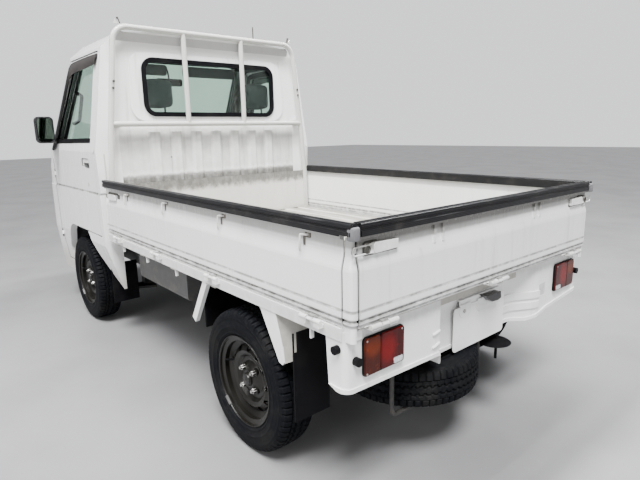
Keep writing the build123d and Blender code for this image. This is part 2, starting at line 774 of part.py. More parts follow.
def make_posts():
    """Left rear corner post: the gates' form carried round a rounded corner, its foot on the sill, a latch hook."""
    inner_y = tail_half + clear + 2
    post_top = gate_top - 10
    levels = [(groove_depth, sill_top - sill_height)]
    levels += [(depth, z) for depth, z in gate_form if z < flange_z - 4] + [(band_depth, post_top)]
    faces = []
    for depth, z in levels:
        rear, side = post_x0 + 3 + depth, gate_inner_y + gate_thickness - 2 - depth
        outline = ((rear, inner_y), (rear, side), (post_x0 + post_length, side), (post_x0 + post_length, inner_y))
        plane = Plane(origin=(0, 0, z), x_dir=(1, 0, 0), z_dir=(0, 0, 1))
        faces.append(flat_face(outline, plane, {1: post_round - depth}))
    post = loft(faces, ruled=True)
    foot = block(post_x0 + 25, side_rear_x, floor_half - 40, inner_y, sill_top - sill_height, sill_top - 12)
    band_x = post_x0 + 3 + band_depth
    hook = block(bail_x + bail_radius + clear, band_x, inner_y + 1, bail_end_y - 5, latch_z - 6, latch_z + 6)
    return (post + foot + hook) - bed_floor - sill_left


corner_post = make_posts()
save("corner_posts", both(corner_post))

# Fixed halves of the gate hinges, on the sills and the tail of the bed


def make_fixed_hinges():
    """Two barrels beside each gate barrel, on a strap from the bed."""
    pieces = []
    for x in side_hinge_x:
        for shift in (-1, 1):
            cx = x + shift * (hinge_length / 2 + 2)
            half = hinge_length / 4 - 1
            piece = barrel(cx, hinge_y, side_hinge_z, 2 * half, hinge_radius, "x")
            piece += block(cx - half, cx + half, hinge_y - 5, hinge_y, side_hinge_z - 18, side_hinge_z)
            piece += block(cx - half, cx + half, gate_inner_y + gate_thickness, hinge_y, side_hinge_z - 20, side_hinge_z - 14)
            pieces += [piece, flip(piece)]
    for y in tail_hinge_y:
        for shift in (-1, 1):
            cy = y + shift * (hinge_length / 2 + 2)
            half = hinge_length / 4 - 1
            piece = barrel(tail_hinge_x, cy, side_hinge_z, 2 * half, hinge_radius, "y")
            piece += block(tail_hinge_x, tail_hinge_x + 5, cy - half, cy + half, side_hinge_z - 24, side_hinge_z)
            piece += block(tail_hinge_x, valance_x, cy - half, cy + half, side_hinge_z - 30, side_hinge_z - 23)
            pieces.append(piece)
    return join(*pieces)


save("gate_hinges", make_fixed_hinges())

# Rear valance with lamps, plate, bumpers for the lowered gates


def valance_plan(grow):
    """Plan of the valance's outer face, closed well ahead of it: flush ends and a middle set back for the plate."""
    points = (
        (valance_front_x + 90, valance_half), (valance_x, valance_half), (valance_x, notch_left_y),
        (recess_x, notch_left_y - 10), (recess_x, curve_inner_y), (valance_x, curve_outer_y),
        (valance_x, -valance_half), (valance_front_x + 90, -valance_half),
    )
    rounds = {1: valance_round, 2: 5.0, 3: 5.0, 4: curve_round, 5: curve_round, 6: valance_round}
    face = flat_face(points, Plane.XY, rounds)
    return offset(face, amount=grow, kind=Kind.INTERSECTION) if grow else face


def valance_band(low, high):
    """The heights between two lines that both follow the valance's lower edge."""
    edge = ((valance_half + 20, valance_bottom + 5), (notch_left_y + 4, valance_bottom - 5),
            (notch_left_y - 6, middle_bottom), (curve_inner_y, middle_bottom), (curve_outer_y + 45, middle_bottom - 7),
            (curve_outer_y - 22, middle_bottom + 4), (curve_outer_y - 90, middle_bottom + 20),
            (-valance_half - 20, valance_bottom + 5))
    lower = [(y, z + low) for y, z in edge]
    upper = [(y, z + high) for y, z in reversed(edge)] if high else [(-900, valance_top), (900, valance_top)]
    return front_prism(lower + upper, valance_x - 60, valance_front_x + 60)


def make_valance():
    """Rear panel below the tailgate: a folded sheet that wraps both corners, with a rolled edge and ribs."""
    low = middle_bottom - 20
    solid, hollow, proud = (
        Pos(0, 0, low) * extrude(valance_plan(grow), valance_top - low) for grow in (0, -valance_wall, valance_lip))
    panel = (solid - hollow) & valance_band(0, 0)
    panel += (proud - solid) & valance_band(0, 13)
    for level, reach in rib_levels:
        rib = (proud - solid) & block(valance_x - 20, valance_front_x, reach, curve_inner_y + 60, level - 14, level + 14)
        panel += rib
    panel += hollow & block(valance_x, valance_front_x, -valance_half, valance_half, valance_top - 3, valance_top)
    panel -= block(valance_x - 20, recess_x - 10, hole_y - 24, hole_y + 24, hole_z - 26, hole_z + 26)
    returns = side_prism(((valance_x - 60, valance_top + 10), (valance_front_x, valance_top + 10),
                          (valance_front_x, 598), (valance_front_x - 9, 461), (valance_front_x - 56, 443),
                          (valance_front_x - 56, middle_bottom - 20), (valance_x - 60, middle_bottom - 20)), -900, 900)
    middle = block(valance_x - 60, valance_front_x, -valance_half + 60, valance_half - 60, 0, valance_top + 10)
    panel = panel & (returns + middle)
    panel = panel - bed_floor - both(sill_left) - both(corner_post)
    return panel.solids().sort_by(SortBy.VOLUME)[-1]


valance = make_valance()
save("rear_valance", valance)


def make_lamp():
    """Left tail lamp: dark backing box and a lens with its lower edge cut back."""
    body = block(valance_x - lamp_depth, valance_x, lamp_y - lamp_width / 2, lamp_y + lamp_width / 2,
                 lamp_z - lamp_height / 2, lamp_z + lamp_height / 2)
    return fillet(body.edges().filter_by(Axis.X), 10)


save("tail_lamps", both(make_lamp()))

plate_back = block(plate_x, plate_x + 3, plate_y - plate_width / 2, plate_y + plate_width / 2,
                   plate_z - plate_height / 2, plate_z + plate_height / 2)
plate_back = fillet(plate_back.edges().filter_by(Axis.X), 14)
for shift in (-105, 105):
    plate_back -= x_disc(plate_x - 5, plate_x + 10, plate_y + shift, plate_z + plate_height / 2 - 18, 3.5)
save("number_plate", plate_back)
bracket_top = plate_z + plate_height / 2 + 24
bracket = block(plate_x + 3, plate_x + 6, plate_y - 130, plate_y + 130, plate_z - 20, bracket_top)
bracket += block(plate_x + 3, recess_x - valance_lip, plate_y - 130, plate_y + 130, bracket_top - 3, bracket_top)
bracket += block(plate_x - 28, plate_x + 3, plate_y - 60, plate_y + 60, plate_z + plate_height / 2 + 3, bracket_top)
bracket -= valance
for shift in (-105, 105):
    bracket -= x_disc(plate_x - 5, plate_x + 10, plate_y + shift, plate_z + plate_height / 2 - 18, 3.5)
save("plate_bracket", bracket)

stopper_radius = 13.0
stopper_z = 540.0
side_stopper_x = -1622.0
side_stopper_z = 575.0
stoppers = []
for y in (-682.0, 682.0):
    stoppers.append(x_disc(valance_x - 18, valance_x, y, stopper_z, stopper_radius))
    side = 1 if y > 0 else -1
    stoppers.append(y_disc(side_stopper_x, side * valance_half, side * (valance_half + 16), side_stopper_z,
                           stopper_radius))
save("rubber_stoppers", join(*stoppers))

# Guard frame: a bent tube, a crossbar, two upright bars and feet on the bed


def make_guard():
    """Tubular frame behind the cab window."""
    half = (
        (guard_x, guard_foot_half, floor_top + 1), (guard_x, guard_foot_half - 7, gate_top),
        (guard_x, guard_knee_half, guard_knee_z),
        (guard_x, guard_top_half, guard_top),
    )
    points = list(half) + [(x, -y, z) for x, y, z in reversed(half)]
    loop = bent_tube(points, guard_radius, (60.0, 200.0, guard_corner, guard_corner, 200.0, 60.0))
    share = (guard_cross_z - guard_knee_z) / (guard_top - guard_knee_z)
    cross_half = guard_knee_half + (guard_top_half - guard_knee_half) * share
    cross = round_bar((guard_x, -cross_half, guard_cross_z), (guard_x, cross_half, guard_cross_z), guard_radius - 0.5) - loop
    parts = [cross]
    for y in (-guard_bar_y, guard_bar_y):
        parts.append(round_bar((guard_x, y, guard_cross_z), (guard_x, y, guard_top), guard_bar_radius) - loop - cross)
    for side in (-1, 1):
        parts.append(block(guard_x, cab_rear_x, side * (cross_half - 16), side * (cross_half - 46),
                           guard_cross_z - 18, guard_cross_z + 18) - loop - cross)
        hook_top = (guard_x, side * (guard_hook_y + 12), guard_top + guard_hook_rise)
        parts.append(round_bar((guard_x, side * guard_hook_y, guard_top), hook_top, 5) - loop)
        parts.append(block(guard_x - 22, guard_x + 12, side * (guard_foot_half - 24), side * (guard_foot_half + 15),
                           floor_top, floor_top + 6) - loop)
    rod_top = (guard_x, guard_rod_y, guard_top + guard_rod_rise)
    parts.append(round_bar((guard_x, guard_rod_y, guard_top), rod_top, 3.5) - loop)
    return join(loop, *parts)


save("guard_frame", join(*[solid - board for solid in make_guard().solids()]))

# Chassis: two rails that step down under the cab, and cross members


def make_chassis():
    """Ladder frame."""
    stations = (
        (rear_x + 90, rail_rear_top, rail_depth - 30), (180.0, rail_rear_top, rail_depth),
        (340.0, rail_front_top, rail_depth), (1000.0, rail_front_top, rail_depth), (1100.0, rail_nose_top, 85.0),
        (1560.0, rail_nose_top, 80.0),
    )
    inner_face = rail_y - rail_width / 2
    rails = []
    for (x0, top0, depth0), (x1, top1, depth1) in zip(stations, stations[1:]):
        piece = side_prism(((x0, top0), (x1, top1), (x1, top1 - depth1), (x0, top0 - depth0)), inner_face,
                           rail_y + rail_width / 2)
        rails += [piece, flip(piece)]
    members = ((carrier_rear_x, 520.0), (carrier_front_x, 520.0), (-640.0, 510.0), (-150.0, 510.0), (250.0, 470.0),
               (1500.0, 352.0))
    cross = [block(x - 22, x + 22, -inner_face, inner_face, z - 30, z + 30) for x, z in members]
    posts = []
    for x, low, high in ((400.0, rail_front_top, platform_z), (950.0, rail_front_top, platform_z),
                         (1400.0, rail_nose_top, footwell_z)):
        post = block(x - 20, x + 20, rail_y - 20, rail_y + 20, low, high - floor_sheet)
        posts += [post - cab_floor, flip(post) - cab_floor]
    return join(*rails, *cross, *posts)


def make_carrier():
    """Cradle of the spare wheel: two bars hung from the frame, and a plate under the rim."""
    low = spare_z - tyre_width / 2 - carrier_bar - 0.3
    right_y = spare_y - tyre_radius + 16
    left_y = spare_y + tyre_radius - 16
    bars = []
    for x in (carrier_rear_x, carrier_front_x):
        route = ((x, right_y, 490.0), (x, right_y, low), (x, left_y, low), (x, left_y, 530.0),
                 (x, rail_y + rail_width / 2, 530.0))
        bars.append(bent_tube(route, carrier_bar, 25.0))
    strap = block(carrier_rear_x + 2, carrier_front_x - 2, spare_y - 18, spare_y + 18, low - 4, low + 4)
    plate = extrude(Pos(spare_x, spare_y, low + 4) * Circle(62), 5)
    return bars[0] + bars[1] + (strap - bars[0] - bars[1]) + plate


chassis = make_chassis()
save("chassis_frame", join(chassis, make_carrier()))

engine = block(500, 900, -250, 250, 240, 585)
engine = fillet(engine.edges().filter_by(Axis.X), 40)
engine += block(560, 620, -rail_y + 30, rail_y - 30, 420, 470)
engine += x_disc(120, 510, 0, 360, 95) + x_disc(60, 130, 0, 350, 60)
save("engine_block", engine - chassis)

shaft_front = (56.0, 0.0, 350.0)
shaft_rear = (rear_axle_x + 120, 0.0, 285.0)
save("propshaft", round_bar(shaft_front, shaft_rear, 30) - engine)


def make_rear_axle():
    """Axle tube, final drive housing, backing plates and stub ends."""
    flange_y = track / 2 - 64
    axle = y_disc(rear_axle_x, -flange_y, flange_y, axle_z, 38)
    axle += Pos(rear_axle_x, 0, axle_z) * Sphere(82)
    axle += x_disc(rear_axle_x, rear_axle_x + 122, 0, 278, 46)
    for side in (-1, 1):
        axle += y_disc(rear_axle_x, side * (flange_y - 6), side * flange_y, axle_z, drum_radius + 3)
        axle += y_disc(rear_axle_x, side * flange_y, side * (track / 2 + 12), axle_z, hub_bore - spindle_clearance)
    return axle


save("rear_axle", make_rear_axle() - round_bar(shaft_front, shaft_rear, 30))


def make_leaf():
    """Left leaf spring above the axle, its shackles and the damper."""
    eye_z, low_z, reach, sheet = 400.0, 316.0, 430.0, 24.0
    arc_top = ThreePointArc((rear_axle_x - reach, eye_z), (rear_axle_x, low_z), (rear_axle_x + reach, eye_z))
    arc_low = ThreePointArc((rear_axle_x + reach, eye_z - sheet), (rear_axle_x, low_z - sheet * 0.5 + 6),
                            (rear_axle_x - reach, eye_z - sheet))
    ends = (Line((rear_axle_x + reach, eye_z), (rear_axle_x + reach, eye_z - sheet)),
            Line((rear_axle_x - reach, eye_z - sheet), (rear_axle_x - reach, eye_z)))
    face = Plane(origin=(0, leaf_y - 25, 0), x_dir=(1, 0, 0), z_dir=(0, -1, 0)) * make_face([arc_top, ends[0], arc_low, ends[1]])
    leaf = extrude(face, -50)
    leaf += block(rear_axle_x - 35, rear_axle_x + 35, leaf_y - 25, leaf_y + 25, axle_z + 20, low_z)
    for x in (rear_axle_x - reach + 12, rear_axle_x + reach - 12):
        leaf += y_disc(x, rail_y + rail_width / 2, leaf_y + 25, eye_z - 6, 16)
        leaf += block(x - 22, x + 22, rail_y + rail_width / 2, leaf_y - 27, eye_z - 24, rail_rear_top)
    damper = round_bar((rear_axle_x - 90, leaf_y - 70, 560), (rear_axle_x - 40, leaf_y - 58, axle_z + 26), 20)
    return leaf, damper


leaf_left, damper_left = make_leaf()
rear_axle_solid = make_rear_axle()
save("rear_suspension", both((leaf_left + damper_left) - chassis - rear_axle_solid))

# Front suspension arms and the steered knuckles
arm_z = 140.0
pin_radius = 8.0
pin_clearance = 0.5


def kingpin_bar(low_z, high_z, radius):
    """A round bar on the left kingpin's inclined axis, between two heights."""
    low, high = Vector(*kingpin_low), Vector(*kingpin_high)
    rise = (high - low) / (high.Z - low.Z)
    return round_bar(tuple(low + rise * (low_z - low.Z)), tuple(low + rise * (high_z - low.Z)), radius)


def make_front_arms():
    """Left lower arm from the cross member to the ball joint, its pin, and the strut's top mount."""
    ball = kingpin_low
    arm = plan_prism(((front_axle_x - 110, 300), (front_axle_x + 60, 300), (ball[0] + 13, 470),
                      (ball[0] + 13, ball[1] + 10), (ball[0] - 13, ball[1] + 10), (ball[0] - 13, 470)),
                     arm_z, arm_z + 16)
    arm += kingpin_bar(arm_z + 4, ball[2] + 6, pin_radius)
    arm += block(front_axle_x - 30, front_axle_x + 30, 0, 320, arm_z - 2, arm_z + 40)
    arm += block(front_axle_x - 30, front_axle_x + 30, 290, rail_y, arm_z, rail_front_top - rail_depth)
    top = kingpin_high
    arm2 = block(top[0] - 50, top[0] + 50, top[1] - 50, top[1] + 50, top[2] + 6, platform_z - floor_sheet)
    return arm, arm2


arm_left, tower_left = make_front_arms()
front_arms = arm_left + flip(arm_left)
save("front_suspension", join(front_arms - chassis - engine, both(tower_left - cab_floor)))


def make_knuckle():
    """Left steering knuckle: carrier, spindle, backing plate and the strut that turns with it."""
    inner_y = track / 2 - 64
    x, z = front_axle_x, axle_z
    body = y_disc(x, inner_y - 18, inner_y, z, 45)
    body += y_disc(x, inner_y, inner_y + 6, z, drum_radius + 3)
    body += y_disc(x, inner_y, track / 2 + 12, z, hub_bore - spindle_clearance)
    low = kingpin_low
    lug = block(x - 24, x + 24, inner_y - 18, low[1] + 12, low[2] + 2, low[2] + 34)
    body += lug - kingpin_bar(low[2] - 40, low[2] + 12, pin_radius + pin_clearance)
    body += block(x - 24, x + 24, inner_y - 18, inner_y, low[2] + 2, z)
    body += block(x - 20, x + 20, 512, inner_y, z + 20, z + 80)
    strut = round_bar((x, 530, z + 30), (x, kingpin_high[1], kingpin_high[2]), 20)
    spring = round_bar((x, 533, 420), (x, kingpin_high[1] - 1, 575), 32)
    return body + strut + spring


knuckle_left = make_knuckle()
save("knuckle_left", knuckle_left)
save("knuckle_right", flip(knuckle_left))

# Wheels: tyre and pressed steel rim, turned about the wheel's own axis and put on each stub


def ring_face(points):
    """A closed outline of (radius, offset) for a turned piece."""
    return Plane.XY * make_face(Polyline(*points, close=True))


def make_tyre():
    """Tyre section with bead, bulged side walls, square shoulders and a flat tread."""
    half = tyre_width / 2
    right = (
        (bead_radius, rim_half_width - 8), (rim_flange_radius - 2, rim_half_width - 3),
        (rim_flange_radius + 3, rim_half_width + 4), (bead_radius + 40, half - 2), (bead_radius + 62, half),
        (tyre_radius - 24, half - 4), (tyre_radius - 8, half - 11), (tyre_radius - 3, half - 20), (tyre_radius, half - 36),
    )
    outline = right + tuple((r, -y) for r, y in reversed(right))
    seat = rim_half_width - 20
    inner = ((bead_radius, -seat), (bead_radius + 14, -seat - 4), (bead_radius + 62, -half + 9),
             (tyre_radius - 16, -half + 16), (tyre_radius - 16, half - 16), (bead_radius + 62, half - 9),
             (bead_radius + 14, seat + 4), (bead_radius, seat))
    face = ring_face(outline + inner)
    return revolve(face, axis=Axis.Y)


def make_rim():
    """Rim barrel with its well, pressed disc with round holes, hub, drum and nuts."""
    f, w, t = rim_flange_radius, rim_half_width, rim_wall
    seat = bead_radius
    barrel_out = ((f, w + 6), (f, w), (seat, w - 6), (seat, w - 24), (132, w - 36), (132, -w + 34),
                  (seat, -w + 24), (seat, -w + 6), (f, -w), (f, -w - 6))
    barrel_in = tuple((r - t, y) for r, y in reversed(barrel_out))
    rim = revolve(ring_face(barrel_out + barrel_in), axis=Axis.Y)
    disc_out = ((130, 12.0), (126, 26.0), (108, 36.0), (92, 30.0), (80, 18.0), (66, 20.0), (46, 34.0), (34, 40.0), (hub_bore, 40.0))
    disc_in = tuple((r, y - 6) for r, y in reversed(disc_out))
    rim += revolve(ring_face(disc_out + disc_in), axis=Axis.Y)
    rim += revolve(ring_face(((hub_bore, -18), (44, -18), (44, 24), (30, 36), (hub_bore, 38))), axis=Axis.Y)
    drum = ring_face(((hub_bore, -18), (hub_bore, -26), (drum_radius, -26), (drum_radius, 14), (drum_radius - 12, 14),
                      (drum_radius - 16, -18)))
    drum_top = ring_face(((hub_bore, 6), (drum_radius, 6), (drum_radius, 14), (hub_bore, 14)))
    rim += revolve(drum, axis=Axis.Y) + revolve(drum_top, axis=Axis.Y)
    rim += revolve(ring_face(((0.0, 41.0), (0.0, 52.0), (22.0, 50.0), (27.0, 39.0), (hub_bore, 39.0))), axis=Axis.Y)
    for i in range(disc_hole_count):
        turn = 360.0 / disc_hole_count * i
        rim -= Rot(0, turn, 0) * y_disc(disc_hole_circle, 16, 60, 0, disc_hole_radius)
    for i in range(stud_count):
        turn = 360.0 / stud_count * i + 45
        rim += Rot(0, turn, 0) * y_disc(stud_circle, 20, 46, 0, nut_radius)
    return rim


tyre = make_tyre()
rim = make_rim()
wheel_spots = (
    ("front_left", front_axle_x, 1), ("front_right", front_axle_x, -1),
    ("rear_left", rear_axle_x, 1), ("rear_right", rear_axle_x, -1),
)
for name, x, side in wheel_spots:
    face_turn = 0 if side > 0 else 180
    place = Pos(x, side * track / 2, axle_z) * Rot(0, 0, face_turn)
    save(f"tyre_{name}", place * tyre)
    save(f"rim_{name}", place * rim)

# Spare wheel, slung flat under the tail on a carrier arm
spare_place = Pos(spare_x, spare_y, spare_z) * Rot(-90, 0, 0)
save("spare_tyre", spare_place * tyre)
spare_rim = spare_place * rim
save("spare_rim", spare_rim)

# Tank, exhaust, mud flaps and the stays round the rear wheels
tank = block(-430, 160, 420, 600, 385, 555)
tank = fillet(tank.edges().filter_by(Axis.X), 24)
tank += block(-330, -290, rail_y + rail_width / 2, 430, 500, 530) + block(20, 60, rail_y + rail_width / 2, 430, 500, 530)
save("fuel_tank", tank)

muffler = x_disc(-480, -40, -510, 440, 72)
pipe = bent_tube(((500, -200, 300), (300, -300, 300), (120, -470, 400), (20, -510, 440), (-60, -510, 440)), 19,
                 (60.0, 60.0, 40.0))
tail_pipe = bent_tube(((-460, -510, 440), (-530, -500, 438), (-620, -290, 430), (-1250, -270, 430), (-1400, -290, 425)),
                      17, (40.0, 60.0, 60.0))
hanger = block(-340, -310, -440, -rail_y - rail_width / 2, 450, 480)
exhaust = muffler + pipe + tail_pipe + hanger
save("exhaust", exhaust - engine - chassis)

flap_y0 = 575.0
flap_y1 = 722.0
rear_flap_x = -1420.0
front_flap_x = 380.0
flap_rear = block(rear_flap_x, rear_flap_x + 5, flap_y0, flap_y1, 255, 560)
flap_front = block(front_flap_x, front_flap_x + 5, 540, 690, 200, 440) - side_frames
guard_panel = block(-800, -794, 500, 700, 395, 585)


def make_stays():
    """Left brackets: the stay ahead of the rear wheel, and the folded one that carries the mud flap."""
    under = sill_top - sill_height
    stay = side_prism(((-862, under), (-826, under), (-720, 420), (-738, 412)), 700, 718)
    stay += block(-850, -760, 640, 718, under - 26, under - 20)
    brace = side_prism(((-1232, under), (-1440, under), (-1415, 470), (-1396, 436), (-1372, 440)), 706, 718)
    brace += block(rear_flap_x + 5, rear_flap_x + 9, 560, 706, 470, under)
    panel = block(-794, -790, 560, 702, 500, under)
    return join(stay + panel, brace)


stays = make_stays()
save("wheel_stays", both(stays))
save("mudflaps", join(both(flap_rear - stays), both(flap_front.solids()[0]), both(guard_panel - stays)))
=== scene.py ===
from math import cos, pi, radians, sin
import bmesh
import bpy
import numpy as np
from mathutils import Matrix, Vector


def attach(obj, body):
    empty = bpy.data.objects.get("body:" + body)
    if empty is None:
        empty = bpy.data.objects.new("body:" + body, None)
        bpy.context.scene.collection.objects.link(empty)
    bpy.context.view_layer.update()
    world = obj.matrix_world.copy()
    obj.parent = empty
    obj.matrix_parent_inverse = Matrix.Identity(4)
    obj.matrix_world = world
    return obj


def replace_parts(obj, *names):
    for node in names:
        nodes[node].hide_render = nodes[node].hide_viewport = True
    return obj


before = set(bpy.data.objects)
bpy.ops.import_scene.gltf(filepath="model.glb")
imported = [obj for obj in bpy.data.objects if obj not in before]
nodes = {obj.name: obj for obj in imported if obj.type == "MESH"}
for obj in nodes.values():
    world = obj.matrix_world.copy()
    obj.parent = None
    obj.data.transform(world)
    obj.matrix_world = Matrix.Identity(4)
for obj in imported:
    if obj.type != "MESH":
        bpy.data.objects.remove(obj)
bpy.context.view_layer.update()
scene = bpy.context.scene

# Camera: behind the left rear corner, at the photograph's place and angle
VIEW_FROM = (-2.6025, 1.6004, 1.1706)
VIEW_TURN, VIEW_TILT, VIEW_ROLL = radians(-40.104), radians(-12.077), radians(-1.147)
forward = Vector((cos(VIEW_TILT) * cos(VIEW_TURN), cos(VIEW_TILT) * sin(VIEW_TURN), sin(VIEW_TILT)))
level_right = forward.cross(Vector((0, 0, 1))).normalized()
level_up = level_right.cross(forward)
right = level_right * cos(VIEW_ROLL) + level_up * sin(VIEW_ROLL)
up = level_up * cos(VIEW_ROLL) - level_right * sin(VIEW_ROLL)
camera_data = bpy.data.cameras.new("camera")
camera_data.lens = 28.458
camera_data.clip_end = 200
camera = bpy.data.objects.new("camera", camera_data)
scene.collection.objects.link(camera)
turned_view = Matrix((right, up, -forward)).transposed().to_4x4()
camera.matrix_world = Matrix.Translation(VIEW_FROM) @ turned_view
scene.camera = camera


# Materials: arithmetic on sockets, and one method for any node

class Wire:
    """A number that varies over a surface. Sums, differences and products on it add Math nodes."""

    def __init__(self, owner, socket):
        self.owner, self.socket = owner, socket

    def math(self, kind, first, second=0.0):
        return self.owner.node("Math", {0: first, 1: second}, operation=kind)

    def __add__(self, other):
        return self.math("ADD", self, other)

    def __sub__(self, other):
        return self.math("SUBTRACT", self, other)

    def __mul__(self, other):
        return self.math("MULTIPLY", self, other)

    def __rsub__(self, other):
        return self.math("SUBTRACT", other, self)

    __radd__, __rmul__ = __add__, __mul__

    def size(self):
        """The value without its sign."""
        return self.math("ABSOLUTE", self)

    def most(self, other):
        """The larger of two values."""
        return self.math("MAXIMUM", self, other)

    def wave(self, pitch):
        """A sine of the value, one full wave for each pitch, from 0 to 1."""
        return self.math("SINE", self * (2 * pi / pitch)) * 0.5 + 0.5

    def ramp(self, low, high):
        """0 below low, 1 above high, smooth between; low may be above high."""
        return self.owner.node("MapRange", {0: self, 1: low, 2: high}, interpolation_type="SMOOTHSTEP")


class Nodes:
    """An emptied node tree."""

    def __init__(self, tree):
        self.tree = tree
        tree.nodes.clear()

    def node(self, kind, sockets=None, out=0, **settings):
        """Any node: its settings, and a value or a link for each named socket."""
        made = self.tree.nodes.new("ShaderNode" + kind)
        for key, value in settings.items():
            setattr(made, key, value)
        for key, value in (sockets or {}).items():
            if isinstance(value, Wire):
                self.tree.links.new(value.socket, made.inputs[key])
            else:
                made.inputs[key].default_value = value
        return Wire(self, made.outputs[out]) if len(made.outputs) else None


class Finish(Nodes):
    """One procedural material. Its patterns lie on Object coordinates, in metres."""

    def __init__(self, name):
        self.material = bpy.data.materials.new(name)
        self.material.use_nodes = True
        super().__init__(self.material.node_tree)
        self.place = self.node("TexCoord", out="Object")
        axes = self.node("SeparateXYZ", {0: self.place}).socket.node
        self.x, self.y, self.z = (Wire(self, axes.outputs[axis]) for axis in "XYZ")

    def noise(self, scale, detail=3.0, rough=0.55, stretch=(1, 1, 1), warp=0.0):
        """Cloud noise around 0.5; stretch squeezes it along an axis."""
        spot = self.node("Mapping", {"Vector": self.place, "Scale": stretch})
        return self.node("TexNoise", {"Vector": spot, "Scale": scale, "Detail": detail, "Roughness": rough,
                                      "Distortion": warp})

    def cells(self, scale):
        """Distance to the nearest of scattered points."""
        return self.node("TexVoronoi", {"Vector": self.place, "Scale": scale}, out="Distance")

    def facing(self, axis):
        """How far a face looks along an axis, from -1 to 1."""
        return self.node("SeparateXYZ", {0: self.node("TexCoord", out="Normal")}, out=axis)

    def faces_in(self, part):
        """1 on the faces of a cab panel that look into the cab, 0 on the others."""
        axis, sign = {"roof": ("Z", 1), "nose": ("X", 1), "back": ("X", -1), "side": ("Y", 1)}[part]
        turn = self.facing(axis) * sign
        if part == "side":
            turn = turn * self.y.math("SIGN", self.y)
        return turn.ramp(-0.2, -0.45)

    def mix(self, low, high, share):
        """One colour turning into another."""
        low, high = ((*c, 1) if isinstance(c, tuple) else c for c in (low, high))
        return self.node("Mix", {0: share, 6: low, 7: high}, out=2, data_type="RGBA")

    def bump(self, height, distance, strength, over=None):
        """A relief of the given depth in metres, over another one where it is given."""
        sockets = {"Height": height, "Distance": distance, "Strength": strength}
        if over is not None:
            sockets["Normal"] = over
        return self.node("Bump", sockets)

    def shader(self, colour, roughness, **sockets):
        """The surface of one colour and roughness."""
        inputs = {"Base Color": (*colour, 1) if isinstance(colour, tuple) else colour, "Roughness": roughness}
        inputs.update({key.replace("_", " "): value for key, value in sockets.items()})
        return self.node("BsdfPrincipled", inputs)

    def close(self, colour, roughness, **sockets):
        """Ends the material in one shader."""
        self.node("OutputMaterial", {"Surface": self.shader(colour, roughness, **sockets)})
        return self.material


DUST = (0.32, 0.295, 0.25)
RUST = (0.17, 0.065, 0.022)
LINING = (0.04, 0.04, 0.042)
RAIN_DIRT = (0.115, 0.108, 0.09)
ZONE_DIRT_AND_SHADE = (0.085, 0.08, 0.068)
PAINTED_SHADE = (0.115, 0.11, 0.098)
EDGE_DIRT_AND_SHADE = (0.07, 0.066, 0.058)
FLOOR_DIRT = (0.13, 0.122, 0.098)
SCUFF = (0.12, 0.115, 0.1)


def white_paint(name, streaks=0.25, road=(0.52, 0.28), specks=0.4, tone=(0.88, 0.885, 0.875), lines=(),
                zones=(), inside="", settled=0.0, shades=()):
    """Old white body paint: rain streaks, dust below, rust specks, faint dents and scuffs. Lines are dark
    edges of dirt and painted shade (height, half width, share), zones ragged bands of dirt and painted shade
    and shades even bands of painted shade (low, high, share)."""
    f = Finish(name)
    cloud = f.noise(2.2, 4)
    run = f.noise(1.0, 5, 0.62, (46, 46, 2.2), 0.4)
    fine = f.noise(190, 4, 0.7)
    patch = f.noise(24, 5, 0.65)
    base = f.mix(tone, tuple(c * 0.94 for c in tone), cloud.ramp(0.35, 0.7))
    streak = run.ramp(0.5, 0.8) * streaks
    base = f.mix(base, RAIN_DIRT, streak)
    # Zones: ragged bands of dirt, which under the rails and the eave also paint their shade
    for low, high, share in zones:
        edge = f.z + (patch - 0.5) * 0.035 + (run - 0.5) * 0.02
        band = edge.ramp(low - 0.022, low + 0.018) * edge.ramp(high + 0.01, high - 0.01)
        uneven = patch.ramp(0.2, 0.75) * 0.4 + run.ramp(0.3, 0.7) * 0.2 + 0.35
        base = f.mix(base, ZONE_DIRT_AND_SHADE, band * uneven * share)
    # Shades: even bands of painted shade
    for low, high, share in shades:
        band = f.z.ramp(low - 0.006, low + 0.004) * f.z.ramp(high + 0.004, high - 0.004)
        base = f.mix(base, PAINTED_SHADE, band * (cloud * 0.3 + 0.85) * share)
    # Lines: dark edge lines of dirt, which under the eave also paint its shade
    for height, half, share in lines:
        near = (f.z - height).size().ramp(half * 2.2, half * 0.4)
        base = f.mix(base, EDGE_DIRT_AND_SHADE, near * (patch.ramp(0.25, 0.65) * 0.6 + 0.3) * share)
    dirt = (f.z + (cloud - 0.5) * 0.1 + (fine - 0.5) * 0.05).ramp(*road) * 0.6
    base = f.mix(base, DUST, dirt)
    if settled:
        worn = f.noise(1.0, 5, 0.65, (3.2, 34, 20), 0.3).ramp(0.35, 0.7)
        base = f.mix(base, FLOOR_DIRT, f.facing("Z").ramp(0.75, 0.95) * (0.45 + worn * 0.55) * settled)
    scuff = f.noise(1.0, 5, 0.7, (18, 18, 120), 0.2).ramp(0.62, 0.72) * cloud.ramp(0.45, 0.65)
    base = f.mix(base, SCUFF, scuff * 0.3)
    speck = f.cells(26).ramp(0.07, 0.03) * f.noise(7, 2).ramp(0.55, 0.66)
    base = f.mix(base, RUST, speck * specks)
    rough = 0.26 + streak * 0.4 + dirt * 0.45 + (fine - 0.5) * 0.08
    relief = f.bump(fine, 0.0002, 0.3, over=f.bump(f.noise(4.5, 2), 0.004, 0.5))
    coat = 0.55 - dirt * 0.5
    if inside:
        lined = f.faces_in(inside)
        base = f.mix(base, LINING, lined)
        rough = rough.most(lined * 0.65)
        coat = coat * (1 - lined)
    return f.close(base, rough, Normal=relief, Coat_Weight=coat, Coat_Roughness=0.08)


